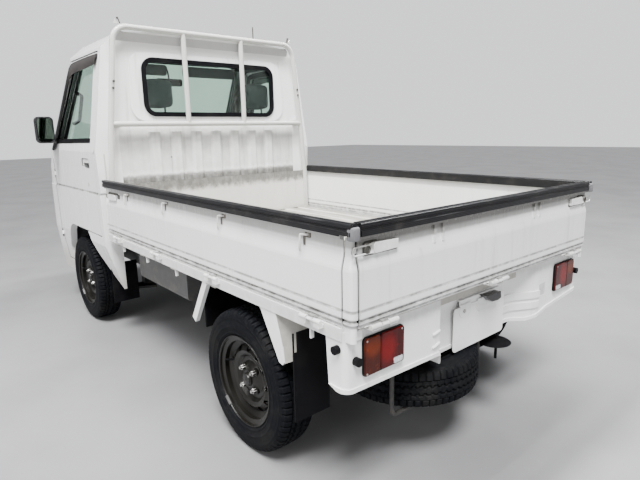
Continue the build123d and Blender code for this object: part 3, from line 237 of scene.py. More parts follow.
def black_strip(name, along):
    """Black ribbed plastic edging: fine ribs along its length, grey on the ridges that is partly wear and
    partly a painted glint, dust between them.
    """
    f = Finish(name)
    across = f.y if along == "x" else f.x
    stretch = (4, 60, 60) if along == "x" else (60, 4, 60)
    rib = across.wave(0.0052) * 0.5 + f.z.wave(0.0046) * 0.5
    worn = f.noise(1.0, 5, 0.7, stretch).ramp(0.5, 0.78)
    dust = f.noise(16, 4).ramp(0.5, 0.85)
    # Grey on the rib tops: wear, and a painted glint along the ridges
    base = f.mix((0.008, 0.008, 0.009), (0.1, 0.1, 0.105), worn * rib.ramp(0.45, 0.9) * 0.8)
    base = f.mix(base, DUST, dust * 0.07)
    return f.close(base, 0.3 + worn * 0.2, Normal=f.bump(rib, 0.0009, 0.8), Specular_IOR_Level=0.3)


def rubber(name, tone=(0.01, 0.01, 0.01), dust=0.08, rough=0.5):
    """Black rubber with a little dry dust."""
    f = Finish(name)
    patch = f.noise(9, 4, 0.6).ramp(0.45, 0.85)
    grain = f.noise(420, 2)
    base = f.mix(tone, DUST, patch * dust)
    return f.close(base, rough + patch * 0.25, Normal=f.bump(grain, 0.0003, 0.5), Specular_IOR_Level=0.06)


def tyre_rubber(name):
    """Tyre rubber: nearly black, with a brown film of dust that thins out in patches."""
    f = Finish(name)
    patch = f.noise(7, 4, 0.6).ramp(0.4, 0.8)
    fine = f.noise(60, 4, 0.65).ramp(0.45, 0.75)
    base = f.mix((0.004, 0.0045, 0.006), (0.04, 0.038, 0.034), patch * 0.25 + fine * 0.15)
    return f.close(base, 0.62 + patch * 0.15, Normal=f.bump(f.noise(300, 3), 0.0003, 0.5),
                   Specular_IOR_Level=0.05)


def painted_steel(name, tone, dust=0.3, rust=0.3, rough=0.42, metal=0.0, fade=0.7):
    """Painted or bare steel part with dust in patches and rust at small spots."""
    f = Finish(name)
    cloud = f.noise(11, 4, 0.6)
    spots = f.noise(60, 4, 0.7).ramp(0.62, 0.76)
    base = f.mix(tone, tuple(c * fade for c in tone), cloud.ramp(0.3, 0.7))
    base = f.mix(base, DUST, cloud.ramp(0.5, 0.82) * dust)
    base = f.mix(base, RUST, spots * rust)
    return f.close(base, rough + spots * 0.25, Metallic=metal, Normal=f.bump(f.noise(120, 3), 0.0004, 0.4))


def moulded_plastic(name, tone, rough=0.55, grain=0.0004):
    """Grained moulded plastic with a little handling shine."""
    f = Finish(name)
    leather = f.cells(520)
    shine = f.noise(6, 3).ramp(0.4, 0.7)
    base = f.mix(tone, tuple(min(1, c * 1.35 + 0.01) for c in tone), f.noise(30, 4).ramp(0.4, 0.8) * 0.5)
    return f.close(base, rough - shine * 0.12, Normal=f.bump(leather, grain, 0.6))


def woven_cloth(name, tone):
    """Plain weave: crossing threads about 1.2 mm apart, a little faded where it is sat on."""
    f = Finish(name)
    warp = (f.x + f.z).wave(0.0024)
    weft = f.y.wave(0.0024)
    thread = warp * (1 - weft) + weft * (1 - warp)
    shade = f.noise(9, 4).ramp(0.3, 0.75)
    base = f.mix(tone, tuple(c * 2.1 for c in tone), thread * 0.35 + shade * 0.25)
    return f.close(base, 0.9, Normal=f.bump(thread, 0.0007, 0.7), Sheen_Weight=0.25, Sheen_Roughness=0.5)


def window_glass(name, tint=(0.68, 0.83, 0.75), haze=0.03):
    """Clear green glass with a film of dust."""
    f = Finish(name)
    film = f.noise(7, 5, 0.6).ramp(0.4, 0.85)
    clear = f.shader(tint, 0.0, IOR=1.45, Transmission_Weight=1.0)
    dusty = f.shader((0.6, 0.6, 0.57), 0.8)
    f.node("OutputMaterial", {"Surface": f.node("MixShader", {0: film * haze, 1: clear, 2: dusty})})
    return f.material


def lens_plastic(name, deep, bright, spot, reach, pitch=0.0042):
    """Tail lamp lens: upright ribs, bright round a spot and dark at its edges as a painted reflection of the
    reflector behind it, with painted glints on small facets.
    """
    f = Finish(name)
    side = f.y.size()
    off_y, off_z = (side - spot[0]) * (1 / reach[0]), (f.z - spot[1]) * (1 / reach[1])
    # Painted reflection: the lens is lit round a spot as if the reflector behind it caught the light
    painted_glow = (off_y * off_y + off_z * off_z).ramp(2.6, 0.0)
    painted_glow = painted_glow * painted_glow
    rib = side.wave(pitch)
    cross = (f.z + side * 0.6).wave(pitch * 2.6)
    # Painted glints on scattered facets
    painted_glints = f.noise(70, 3, 0.6).ramp(0.52, 0.72)
    facet = f.cells(90).ramp(0.6, 0.15)
    base = f.mix(deep, bright, painted_glow * (rib * 0.55 + cross * 0.15 + 0.2) + rib * 0.15 + painted_glints * facet * 0.5)
    return f.close(base, 0.1, Normal=f.bump(rib * 0.7 + cross * 0.3, 0.0006, 0.5), Coat_Weight=0.1,
                   Coat_Roughness=0.03, Specular_IOR_Level=0.15)


def head_lamp_glass(name):
    """Head lamp: a bright round reflector behind upright flutes, an amber end towards the side."""
    f = Finish(name)
    side = f.y.size()
    off_y, off_z = (side - 0.475) * (1 / 0.075), (f.z - 0.72) * (1 / 0.075)
    away = off_y * off_y + off_z * off_z
    bowl = away.ramp(1.05, 0.9)
    core = away.ramp(0.1, 0.02)
    flute = side.wave(0.009)
    rim = bowl * away.ramp(0.72, 0.88)
    base = f.mix((0.16, 0.165, 0.17), (0.7, 0.72, 0.73), bowl * (flute * 0.55 + 0.35))
    base = f.mix(base, (0.05, 0.05, 0.052), core + rim * 0.6)
    base = f.mix(base, (0.55, 0.085, 0.004), side.ramp(0.568, 0.572))
    return f.close(base, 0.12, Metallic=bowl * 0.7, Normal=f.bump(flute, 0.0012, 0.6), Coat_Weight=0.9,
                   Coat_Roughness=0.03)


def mirror_finish(name):
    """Silvered glass with a few dust specks."""
    f = Finish(name)
    dust = f.noise(60, 4, 0.7).ramp(0.62, 0.8)
    return f.close(f.mix((0.055, 0.07, 0.058), DUST, dust * 0.2), 0.02 + dust * 0.3, Metallic=1.0)


def smoked_plastic(name):
    """Dark brown acrylic, a little lighter along the roof where the white frame shows through."""
    f = Finish(name)
    front = f.x.ramp(0.76, 0.88)
    haze = f.noise(12, 4).ramp(0.3, 0.8)
    base = f.mix((0.02, 0.0145, 0.0135), (0.003, 0.0025, 0.0025), front)
    return f.close(f.mix(base, DUST, haze * (1 - front) * 0.08), 0.14 + haze * 0.1,
                   Coat_Weight=(1 - front) * 0.6, Coat_Roughness=0.05, Specular_IOR_Level=0.25)


GATE_LINES = ((0.6665, 0.005, 1.0), (0.6945, 0.003, 0.85), (0.6515, 0.004, 0.9))
cab_white = white_paint("body white", streaks=0.16, lines=((0.8572, 0.0042, 1.0),), inside="side")
roof_white = white_paint("roof white", streaks=0.15, inside="roof")
nose_white = white_paint("nose white", inside="nose")
# On the gates and the tailgate, the zones and shades at 0.86 to 0.93 m paint the shade under the rail's
# overhang, over some dirt
gate_white = white_paint("gate white", streaks=0.22, road=(0.6, 0.45), specks=0.6, lines=GATE_LINES,
                         zones=((0.868, 0.93, 0.2),), shades=((0.868, 0.93, 0.48),))
tailgate_white = white_paint("tailgate white", streaks=0.25, road=(0.6, 0.45), specks=0.6, lines=GATE_LINES,
                             zones=((0.866, 0.93, 0.35),), shades=((0.86, 0.93, 0.62), (0.878, 0.93, 0.75)))
tail_white = white_paint("tail white", streaks=0.18, road=(0.4, 0.3), specks=0.6,
                         zones=((0.596, 0.64, 0.35),))
# The zone, shade and line at 1.66 to 1.76 m paint the shade under the roof's eave, over some dirt
wall_white = white_paint("cab back white", streaks=0.42, road=(0.8, 0.62), specks=0.5,
                         zones=((0.88, 0.945, 1.0), (0.89, 0.935, 0.8), (0.96, 1.21, 0.35),
                                (1.655, 1.76, 1.0)),
                         shades=((1.668, 1.76, 0.6), (0.885, 0.925, 0.35)), lines=((1.705, 0.026, 1.0),),
                         inside="back")
# The zones and shade at 0.845 to 0.93 m paint the shade under the rail, over some dirt
bed_white = white_paint("bed floor white", streaks=0.35, road=(0.68, 0.62), specks=0.9,
                        tone=(0.62, 0.61, 0.57),
                        zones=((0.845, 0.93, 1.0), (0.86, 0.93, 0.6)), shades=((0.868, 0.93, 0.4),),
                        settled=1.0)
tube_white = white_paint("guard white", streaks=0.25, road=(0.8, 0.6), specks=0.7, tone=(0.52, 0.52, 0.5))
strip_long = black_strip("side strip", "x")
strip_tail = black_strip("tail strip", "y")
seal = rubber("black rubber", (0.005, 0.005, 0.006), 0.03, 0.32)
flap = rubber("mudflap rubber", (0.004, 0.004, 0.005), 0.02)
cap_rubber = rubber("grey cap rubber", (0.16, 0.16, 0.17), 0.2)
tread = tyre_rubber("tyre rubber")
wheel_steel = painted_steel("wheel steel", (0.01, 0.0092, 0.0075), 0.01, 0.06, 0.34, 0.35)
bright_steel = painted_steel("zinc steel", (0.55, 0.54, 0.52), 0.1, 0.12, 0.28, 0.9)
dark_steel = painted_steel("dark zinc", (0.1, 0.095, 0.085), 0.2, 0.5, 0.45, 0.6)
under_black = painted_steel("underbody black", (0.018, 0.018, 0.017), 0.25, 0.25, 0.6)
frame_grey = painted_steel("frame black", (0.03, 0.029, 0.027), 0.3, 0.3, 0.6)
tank_grey = painted_steel("tank grey", (0.1, 0.1, 0.1), 0.35, 0.2, 0.55)
cast = painted_steel("cast alloy", (0.16, 0.16, 0.16), 0.35, 0.2, 0.5, 0.6)
exhaust_steel = painted_steel("exhaust steel", (0.2, 0.175, 0.15), 0.2, 0.6, 0.5, 0.7)
hinge_white = painted_steel("hinge white", (0.86, 0.86, 0.84), 0.05, 0.12, 0.3)
paddle_white = painted_steel("lever white", (0.88, 0.88, 0.87), 0.03, 0.08, 0.3)
hook_white = painted_steel("hook white", (0.78, 0.78, 0.76), 0.1, 0.15, 0.4)
hook_shadow_grime = painted_steel("hook shadow and grime", (0.16, 0.145, 0.125), 0.3, 0.55, 0.6)
soffit_shade_grime = painted_steel("soffit shade and grime", (0.1, 0.095, 0.085), 0.2, 0.25, 0.6)
shaded_arch_white = painted_steel("arch white in shade", (0.34, 0.33, 0.3), 0.5, 0.2, 0.6)
plate_face = painted_steel("plate face", (0.9, 0.9, 0.89), 0.01, 0.02, 0.35, fade=0.95)
dial_face = painted_steel("dial face", (0.02, 0.02, 0.022), 0.02, 0.0, 0.3)
lining = moulded_plastic("cab lining", (0.1, 0.1, 0.105))
dark_lining = moulded_plastic("dark lining", (0.03, 0.03, 0.032))
vinyl = moulded_plastic("grey vinyl", (0.075, 0.075, 0.078), 0.6)
black_gloss = moulded_plastic("mirror black", (0.009, 0.009, 0.01), 0.34, 0.0002)
cloth = woven_cloth("seat cloth", (0.018, 0.019, 0.022))
glass = window_glass("window glass")
red_lens = lens_plastic("red lens", (0.022, 0.0, 0.0), (0.2, 0.0, 0.0), (0.56, 0.552), (0.034, 0.05))
amber_lens = lens_plastic("amber lens", (0.028, 0.0015, 0.0), (0.17, 0.022, 0.0), (0.622, 0.57), (0.03, 0.03))
clear_lens = lens_plastic("clear lens", (0.5, 0.52, 0.54), (0.9, 0.92, 0.94), (0.5, 0.72), (0.1, 0.06), 0.009)
head_glass = head_lamp_glass("head lamp glass")

# The frame's own nodes that stay in view
FINISHES = (
    (cab_white, "cab_side_frames door_panel_left door_panel_right"),
    (roof_white, "cab_roof"),
    (nose_white, "cab_front_panel front_bumper"),
    (gate_white, "side_gate_left side_gate_right corner_posts"),
    (tailgate_white, "tailgate"),
    (tail_white, "rear_valance bed_sills"),
    (wall_white, "cab_rear_wall"),
    (bed_white, "bed_floor"),
    (tube_white, "guard_frame"),
    (strip_long, "side_rail_left side_rail_right"),
    (strip_tail, "tailgate_rail"),
    (seal, "rear_window_seal rubber_stoppers"),
    (flap, "mudflaps"),
    (wheel_steel, "rim_front_left rim_front_right rim_rear_left rim_rear_right spare_rim"),
    (under_black, "propshaft rear_axle rear_suspension front_suspension knuckle_left knuckle_right"),
    (frame_grey, "chassis_frame"),
    (tank_grey, "fuel_tank"),
    (cast, "engine_block"),
    (exhaust_steel, "exhaust"),
    (lining, "cab_floor steering_column"),
    (dark_lining, "dashboard steering_wheel"),
    (black_gloss, "mirror_left mirror_right"),
    (glass, "windscreen rear_window door_glass_left door_glass_right"),
    (head_glass, "head_lamps"),
    (plate_face, "number_plate"),
)
for material, names in FINISHES:
    for name in names.split():
        nodes[name].data.materials.clear()
        nodes[name].data.materials.append(material)


# Shapes: grids of points in millimetres, worked out as whole arrays

MM = 0.001


def grid(points, wrap_u=False, wrap_v=False, caps=False):
    """Quads over a grid of points; either way round may close on itself, and the end rows may be capped."""
    m, n = points.shape[:2]
    u = np.arange(m if wrap_u else m - 1)[:, None]
    v = np.arange(n if wrap_v else n - 1)[None, :]
    after_u, after_v = (u + 1) % m, (v + 1) % n
    corners = np.stack(np.broadcast_arrays(u * n + v, u * n + after_v, after_u * n + after_v,
                                           after_u * n + v), -1)
    faces = corners.reshape(-1, 4).tolist()
    if caps:
        faces += [list(range(n)), list(range((m - 1) * n, m * n))]
    return points.reshape(-1, 3), faces


def turned(profile, centre, axis, count=48):
    """A profile of (radius, distance along) turned about an axis through the centre."""
    profile = np.array(profile, float)
    axis = Vector(axis).normalized()
    side = axis.orthogonal().normalized()
    across = np.array(axis.cross(side))
    side, axis = np.array(side), np.array(axis)
    angle = np.linspace(0, 2 * pi, count, endpoint=False)[None, :, None]
    ring = np.cos(angle) * side + np.sin(angle) * across
    points = np.array(centre) + profile[:, 0][:, None, None] * ring + profile[:, 1][:, None, None] * axis
    return grid(points, wrap_v=True, caps=True)


def rounded(points, radius, steps=5):
    """Straight runs joined by quarter-sine arcs: each corner is a quadratic curve cut in by the radius."""
    points = [Vector(p) for p in points]
    path = [points[0]]
    for before, here, after in zip(points, points[1:], points[2:]):
        a = here + (before - here).normalized() * radius
        b = here + (after - here).normalized() * radius
        path += [a * (1 - t) ** 2 + here * 2 * t * (1 - t) + b * t ** 2 for t in np.linspace(0, 1, steps)]
    return np.array([tuple(p) for p in path + [points[-1]]])


def swept(path, section, closed=False):
    """A flat outline carried square to a path; its first axis stays as level as the path lets it."""
    path, section = np.array(path, float), np.array(section, float)
    ahead = np.roll(path, -1, 0) - np.roll(path, 1, 0)
    if not closed:
        ahead[0], ahead[-1] = path[1] - path[0], path[-1] - path[-2]
    ahead /= np.linalg.norm(ahead, axis=1)[:, None]
    sides = np.empty_like(path)
    side = np.cross(ahead[0], (0, 0, 1) if abs(ahead[0][2]) < 0.9 else (1, 0, 0))
    for i, way in enumerate(ahead):
        side = side - way * (side @ way)
        side /= np.linalg.norm(side)
        sides[i] = side
    tops = np.cross(sides, ahead)
    wide, high = section[None, :, 0, None], section[None, :, 1, None]
    points = path[:, None] + wide * sides[:, None] + high * tops[:, None]
    return grid(points, wrap_u=closed, wrap_v=True, caps=not closed)


def circle(radius, count=12):
    """A round outline."""
    angle = np.linspace(0, 2 * pi, count, endpoint=False)
    return np.stack([np.cos(angle), np.sin(angle)], 1) * radius


def rod(points, radius, bend=10):
    """A bent round rod."""
    return swept(rounded(points, bend), circle(radius))


def inset(outline, amount):
    """An outline drawn in by an amount, corner by corner along its bisectors."""
    before, after = np.roll(outline, 1, 0), np.roll(outline, -1, 0)
    e1, e2 = outline - before, after - outline
    e1 /= np.linalg.norm(e1, axis=1)[:, None]
    e2 /= np.linalg.norm(e2, axis=1)[:, None]
    n1, n2 = (np.stack([-e[:, 1], e[:, 0]], 1) for e in (e1, e2))
    turn = np.sign(np.sum(outline[:, 0] * after[:, 1] - outline[:, 1] * after[:, 0]))
    bisector = (n1 + n2) / (1 + np.sum(n1 * n2, 1))[:, None]
    return outline + bisector * amount * turn


AXES = {"x": (1, 2, 0), "y": (0, 2, 1), "z": (0, 1, 2)}


def slab(outline, axis, low, high, chamfer=1):
    """A flat outline made solid between two heights along an axis, with its rims chamfered."""
    outline = np.array(outline, float)
    small = inset(outline, chamfer)
    step = chamfer if high > low else -chamfer
    rows = [(small, low), (outline, low + step), (outline, high - step), (small, high)]
    first, second, third = AXES[axis]
    points = np.zeros((4, len(outline), 3))
    for i, (line, level) in enumerate(rows):
        points[i, :, first], points[i, :, second], points[i, :, third] = line[:, 0], line[:, 1], level
    return grid(points, wrap_v=True, caps=True)


def box(low, high, radius=4, axis="x"):
    """A block with rounded corners seen along one axis."""
    first, second, third = AXES[axis]
    a0, a1, b0, b1 = low[first], high[first], low[second], high[second]
    quarter = np.linspace(0, pi / 2, 5)
    corners = ((a1 - radius, b1 - radius, 0), (a0 + radius, b1 - radius, 1), (a0 + radius, b0 + radius, 2),
               (a1 - radius, b0 + radius, 3))
    outline = [(a + radius * cos(t + k * pi / 2), b + radius * sin(t + k * pi / 2))
               for a, b, k in corners for t in quarter]
    return slab(outline, axis, low[third], high[third], min(radius * 0.5, 2))


def put(name, shapes, material, ride_on="root", sharp=32):
    """One object from several shapes, with outward normals, riding on a body."""
    points, faces, start = [], [], 0
    for spots, quads in shapes:
        points.append(spots)
        faces += [[i + start for i in quad] for quad in quads]
        start += len(spots)
    mesh = bpy.data.meshes.new(name)
    mesh.from_pydata(np.concatenate(points) * MM, [], faces)
    work = bmesh.new()
    work.from_mesh(mesh)
    bmesh.ops.recalc_face_normals(work, faces=work.faces)
    work.to_mesh(mesh)
    work.free()
    mesh.shade_smooth()
    mesh.set_sharp_from_angle(angle=radians(sharp))
    mesh.materials.append(material)
    piece = bpy.data.objects.new(name, mesh)
    scene.collection.objects.link(piece)
    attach(piece, ride_on)
    return piece


def flipped(shape):
    """The same shape on the other side of the truck."""
    points, faces = shape
    return points * (1, -1, 1), [face[::-1] for face in faces]


def both_sides(name, shapes, material, ride_on="root"):
    """A piece for the left and its mirror image for the right; doors and side gates each carry their own."""
    made = []
    for side in ("left", "right"):
        placed = shapes if side == "left" else [flipped(shape) for shape in shapes]
        on = ride_on + "_" + side if ride_on in ("door", "side_gate") else ride_on
        made.append(put(name + "_" + side, placed, material, on))
    return made


def loop(points, radius):
    """A closed line with every corner rounded."""
    return rounded([*points, *points[:2]], radius)[1:-1]


def oval(centre, wide, high, count=24, power=1.0):
    """An upright loop across the truck: cosine along Y and sine along Z, their sizes raised to a power."""
    angle = np.linspace(0, 2 * pi, count, endpoint=False)
    y, z = (np.sign(part) * np.abs(part) ** power for part in (np.cos(angle), np.sin(angle)))
    return np.stack([0 * angle, wide * y, high * z], 1) + centre


def hexagon(centre, axis, radius, low, high):
    """A six-sided prism with chamfered ends, turned with six steps."""
    rim = radius * 0.86
    return turned(((rim, low), (radius, low + 1), (radius, high - 1), (rim, high)), centre, axis, 6)


def barrel(centre, axis, half):
    """A hinge barrel with chamfered ends."""
    return turned(((6.6, -half), (7.4, 1 - half), (7.4, half - 1), (6.6, half)), centre, axis, 24)


# Places that several pieces share
AXLE_Z = 271
HINGE_Z = 641
LATCH_Z = 863
LAMP_FACE_X = -1669
SEAT_Y = 342
OUT_LEFT, BACKWARDS, UPWARDS = (0, 1, 0), (-1, 0, 0), (0, 0, 1)
WHEELS = (("front_left", 812.5, 650, 1), ("front_right", 812.5, -650, -1),
          ("rear_left", -1087.5, 650, 1), ("rear_right", -1087.5, -650, -1))

# Tyres
TYRE_SIDE = ((154, 47), (158, 49), (166, 52.5), (170, 57.5), (173.5, 61.5), (178, 65.5),
             (183, 68), (184, 69.4), (188, 69.6), (189, 68.9), (197, 70.6), (205, 71.8),
             (206, 72.7), (209, 72.8), (210, 72.2), (219, 72.2), (228, 71.3), (236, 70.2),
             (237, 70.8), (240, 70.5), (240.5, 69.6), (246, 68.8), (251, 67.2), (256, 65.1))
TREAD_ACROSS = (64, 62.8, 61.2, 58.5, 54.5, 50, 45, 40.5, 38.5, 38, 33, 32.5, 28,
                22, 16.5, 16, 11, 10.5, 5, 0)


def tyre_shape(turns=520, pitches=65):
    """A tyre section carried round the axle: radius by distance across, less grooves, which are steps of the
    angle and of the distance."""
    across = np.array(TREAD_ACROSS)
    radius = np.interp(across, (0, 37, 53, 62, 64), (271, 270.6, 267.6, 262.6, 259))
    half = np.concatenate([np.array(TYRE_SIDE), np.stack([radius, across], 1)])
    inside = np.array(((245, 62), (215, 63), (175, 45), (157, 40)))
    other = (1, -1)
    section = np.concatenate([inside[::-1], half, (half * other)[-2::-1], inside * other])
    angle = np.linspace(0, 2 * pi, turns, endpoint=False)[:, None]
    r, y = section.T[:, None]
    phase = (angle * pitches / (2 * pi)) % 1
    zigzag = 2.2 * np.where(phase < 0.5, phase * 4 - 1, 3 - phase * 4)
    long_cut = (np.abs(np.abs(y) - 13.7 - zigzag) < 3) | (np.abs(np.abs(y) - 35.3) < 2.5)
    half_phase = (phase + np.where(y > 0, 0.5, 0.0)) % 1
    shoulder = (half_phase < 0.24) & (np.abs(y) > 36)
    sipe = (half_phase > 0.55) & (half_phase < 0.68) & (np.abs(y) < 33) & (np.abs(y) > 8)
    r = r - (r > 255.5) * np.maximum(np.maximum(long_cut * 7, shoulder * 6.5), sipe * 3)
    return np.stack([r * np.cos(angle), np.broadcast_to(y, r.shape), r * np.sin(angle)], -1)


tyre_points = tyre_shape()
for where, x, y, side in WHEELS:
    place = tyre_points * (side, side, 1) + (x, y, AXLE_Z)
    tyre = put("treaded_tyre_" + where, [grid(place, True, True)], tread, "wheel_" + where, 40)
    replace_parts(tyre, "tyre_" + where)
spare_points = tyre_points[:, :, [0, 2, 1]] * (1, 1, -1) + (-1407, 165, 302)
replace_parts(put("treaded_spare_tyre", [grid(spare_points, True, True)], tread, "root", 40), "spare_tyre")

# Tail lamps: gasket, amber outer and red inner lens, clear window, screws
for gasket in both_sides("tail_lamp_gasket", [box((-1664, 485.5, 481.5), (-1655.7, 658.5, 602.5), 14)], seal):
    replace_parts(gasket, "tail_lamps")
both_sides("tail_lamp_red", [box((LAMP_FACE_X, 488.5, 485), (-1660, 589.5, 599), 9)], red_lens)
both_sides("tail_lamp_amber", [box((LAMP_FACE_X, 591.5, 485), (-1660, 655.5, 599), 9)], amber_lens)
both_sides("tail_lamp_clear_window", [box((-1669.4, 496, 490), (-1668, 536, 508), 4)], clear_lens)
screws = [turned(((3.2, -1), (3.2, 0.6), (2, 1.2), (0.8, 0.3)), (LAMP_FACE_X, y, z), BACKWARDS, 16)
          for y in (500, 648) for z in (592, 492)]
both_sides("tail_lamp_screws", screws, bright_steel)

# Fixed hinge halves: round barrels on flat straps
fixed_hinges = []
for x in (93, -406, -927, -1520):
    for middle in (x - 32, x + 32):
        strap = slab(((720, 634), (732.5, 634), (738.5, 639), (738.5, 622.5), (720, 622.5)), "x",
                     middle - 14, middle + 14)
        for half in (barrel((middle, 732.5, HINGE_Z), (1, 0, 0), 15), strap):
            fixed_hinges += [half, flipped(half)]
for y in (600, 0, -600):
    for middle in (y - 36, y + 36):
        fixed_hinges += [barrel((-1690, middle, HINGE_Z), OUT_LEFT, 19.5),
                         box((-1694, middle - 16, 629.5), (-1654, middle + 16, 633.5), 1.8, "y")]
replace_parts(put("hinge_barrels", fixed_hinges, hinge_white), "gate_hinges")

# Ribbed rubber caps on the gates' rear corners: share of the radius, and height
CAP_ROWS = ((0.6, 892), (0.93, 893.5), (1.0, 897), (1.0, 923), (0.95, 926.2), (0.82, 928.2), (0.5, 929))
angle = np.linspace(0, 2 * pi, 96, endpoint=False)
share, height = np.array(CAP_ROWS).T[:, :, None]
ribbed = share * (16.8 + 0.5 * np.cos(angle * 24))
cap = np.stack([ribbed * np.cos(angle) - 1679.5, ribbed * np.sin(angle) + 710, height + 0 * angle], -1)
both_sides("corner_cap", [grid(cap, wrap_v=True, caps=True)], cap_rubber, "side_gate")

# Latches of the tailgate and of the gates' front ends
both_sides("tailgate_latch_pivot_and_shadow",
           [box((-1686.5, 656, 846), (-1674.5, 674, 880), 5),
            swept(oval((-1687, 665, LATCH_Z), 10, 10), circle(1.6, 8), closed=True),
            # Two thin dark plates below and beside the paddle paint its shadow on the recess
            box((-1675.5, 535, 841), (-1673.9, 664, 853), 5),
            box((-1675.9, 618, 843), (-1674.3, 666, 883), 5)], dark_steel, "tailgate")
both_sides("tailgate_latch_paddle",
           [slab(((542, 850), (634, 848), (640, 854), (640, 872), (634, 878), (542, 876)), "x",
                 -1687, -1684.5, 0.8)], paddle_white, "tailgate")
both_sides("latch_spring_ring", [swept(oval((-1676, 708.5, LATCH_Z), 6, 8.5), circle(1.7, 8), closed=True)],
           bright_steel)
both_sides("front_latch_lever",
           [slab(((90, 841), (110, 837), (200, 837), (204, 842), (204, 862), (200, 866), (110, 867),
                  (90, 863)), "y", 716.5, 723)], gate_white, "side_gate")
both_sides("front_latch_wire",
           [box((80, 707.6, 829), (214, 708.6, 838), 3, "y"),
            box((80, 707.6, 865.5), (214, 708.6, 876), 3, "y"),
            box((205, 707.6, 838), (228, 709, 872), 4, "y"),
            box((56, 707.6, 836), (88, 709, 870), 4, "y"),
            box((150, 707.6, 835), (175, 716, 845), 3, "y"),
            rod([(200, 712.5, 860), (257, 712.5, 860), (257, 712.5, 844), (200, 712.5, 844)], 2.2, 6)],
           dark_steel, "side_gate")

# Rope hooks of the side gates, with dark patches round them: painted shadow of the hooks, and grime
hooks, hook_shades = [], []
for x in (-50, -505, -990, -1470):
    hooks.append(rod([(x - 20, 707, 883), (x - 18, 717, 884), (x, 721.5, 883), (x, 724, 856),
                      (x + 1, 724, 842), (x + 3, 720, 833)], 3.6, 6))
    hook_shades += [box((x - 34, 707.4, 874), (x - 8, 709.2, 892), 4, "y"),
                    box((x - 8.5, 707.6, 842), (x + 1.5, 708.8, 880), 4, "y")]
both_sides("rope_hooks", hooks, hook_white, "side_gate")
both_sides("rope_hook_shadow_seats", hook_shades, hook_shadow_grime, "side_gate")


# Doors: visor, window channel, keyhole, handle, mirror glass
def on_door(x, z, proud):
    """A point on the door's upper face, which leans in above the belt, moved out by an amount."""
    x, z = np.asarray(x, float), np.asarray(z, float)
    return np.stack([x, 734 - 0.155 * (z - 1086) + proud + 0 * x, z], -1)


VISOR = ((326, 1604, 344, 1548), (500, 1607, 500, 1542), (700, 1607, 700, 1538), (800, 1605, 775, 1531),
         (845, 1598, 806, 1514), (880, 1578, 832, 1484), (905, 1545, 852, 1450),
         (985, 1420, 918, 1350), (1090, 1262, 998, 1222), (1160, 1154, 1062, 1132), (1200, 1092, 1120, 1084))


def visor_shape(steps=64):
    """A bowed strip between an outer and an inner line of points: proud in its middle by half a sine,
    and 3 mm thick."""
    table = np.array(VISOR)
    run = np.linspace(0, len(table) - 1, steps)
    outer_x, outer_z, inner_x, inner_z = (np.interp(run, np.arange(len(table)), line)[:, None]
                                          for line in table.T)
    share = np.linspace(0, 1, 9)
    share = np.concatenate([share, share[::-1]])
    proud = 4.5 + 12 * np.sin(pi * np.minimum(share * 0.75, 1)) - np.repeat((0, 3), 9)
    x, z = outer_x * (1 - share) + inner_x * share, outer_z * (1 - share) + inner_z * share
    return grid(on_door(x, z, proud), wrap_v=True, caps=True)


both_sides("window_visor", [visor_shape()], smoked_plastic("smoked acrylic"), "door")
WINDOW = ((397, 1154), (397, 1572), (822, 1572), (1163, 1104), (1103, 1148))
opening = loop([(x, 0, z) for x, z in WINDOW], 22)
channel = swept(on_door(opening[:, 0], opening[:, 2], -12), ((-7, -6), (4, -6), (4, 7), (-7, 7)), closed=True)
belt = swept(on_door((392, 600, 850, 1104), (1147, 1146, 1143, 1141), -0.5),
             ((-4, -12), (2.5, -12), (3.5, -6), (3.5, 8), (1, 13), (-4, 13)))
both_sides("window_channel", [channel, belt], seal, "door")
both_sides("keyhole", [turned(((9.5, -4), (9.5, 0.5), (8.2, 1.6), (4, 1.6), (3.4, -1)),
                              (488, 730.6, 900), OUT_LEFT, 28)], bright_steel, "door")
POCKET = ((434, 732.2, 995), (564, 732.2, 995), (564, 732.2, 1047), (434, 732.2, 1047))
# A dark rim round the handle pocket, for its dark edge, and a dark plate at its bottom paint the shade in the
# recess
both_sides("handle_edge", [swept(loop(POCKET, 12)[4:], circle(1.7, 8), closed=True)], seal, "door")
both_sides("handle_recess_shade", [box((434, 719.2, 995), (564, 720.6, 1046), 12, "y")], black_gloss, "door")
both_sides("mirror_glass", [box((1012.8, 761.5, 1141), (1014.2, 850.5, 1289), 20)], mirror_finish("mirror"),
           "door")
bezel = oval((1014.2, 806, 1215), 47.5, 77, 64, 0.45)
both_sides("mirror_bezel", [swept(bezel, circle(2.8, 8), closed=True)], black_gloss, "door")

# Dark strips in the shut lines, in the black rubber finish, that paint the shade in the gaps: beside the
# posts and behind the doors
side_gap = slab(((700, 660), (716.8, 660), (716.8, 808), (706.2, 850), (706.2, 888), (700, 888)), "x",
                -1643, -1639.8)
tail_gap = slab(((-1670, 660), (-1679.8, 660), (-1679.8, 808), (-1669.2, 850), (-1669.2, 888), (-1662, 888)),
                "y", 691.5, 696.2)
both_sides("post_gap_shade", [side_gap, tail_gap], seal)
SHUT_LINE = ((341, 728.5, 610), (341, 730, 850), (341, 725.5, 866), (341, 727.5, 985),
             (341, 729.5, 1045), (341, 729.5, 1072), (316, 728, 1097), (316, 649.2, 1603),
             (330, 647.4, 1616), (845, 647.4, 1616))
both_sides("door_gap_shade", [swept(rounded(SHUT_LINE, 6), circle(2.8, 8))], seal)

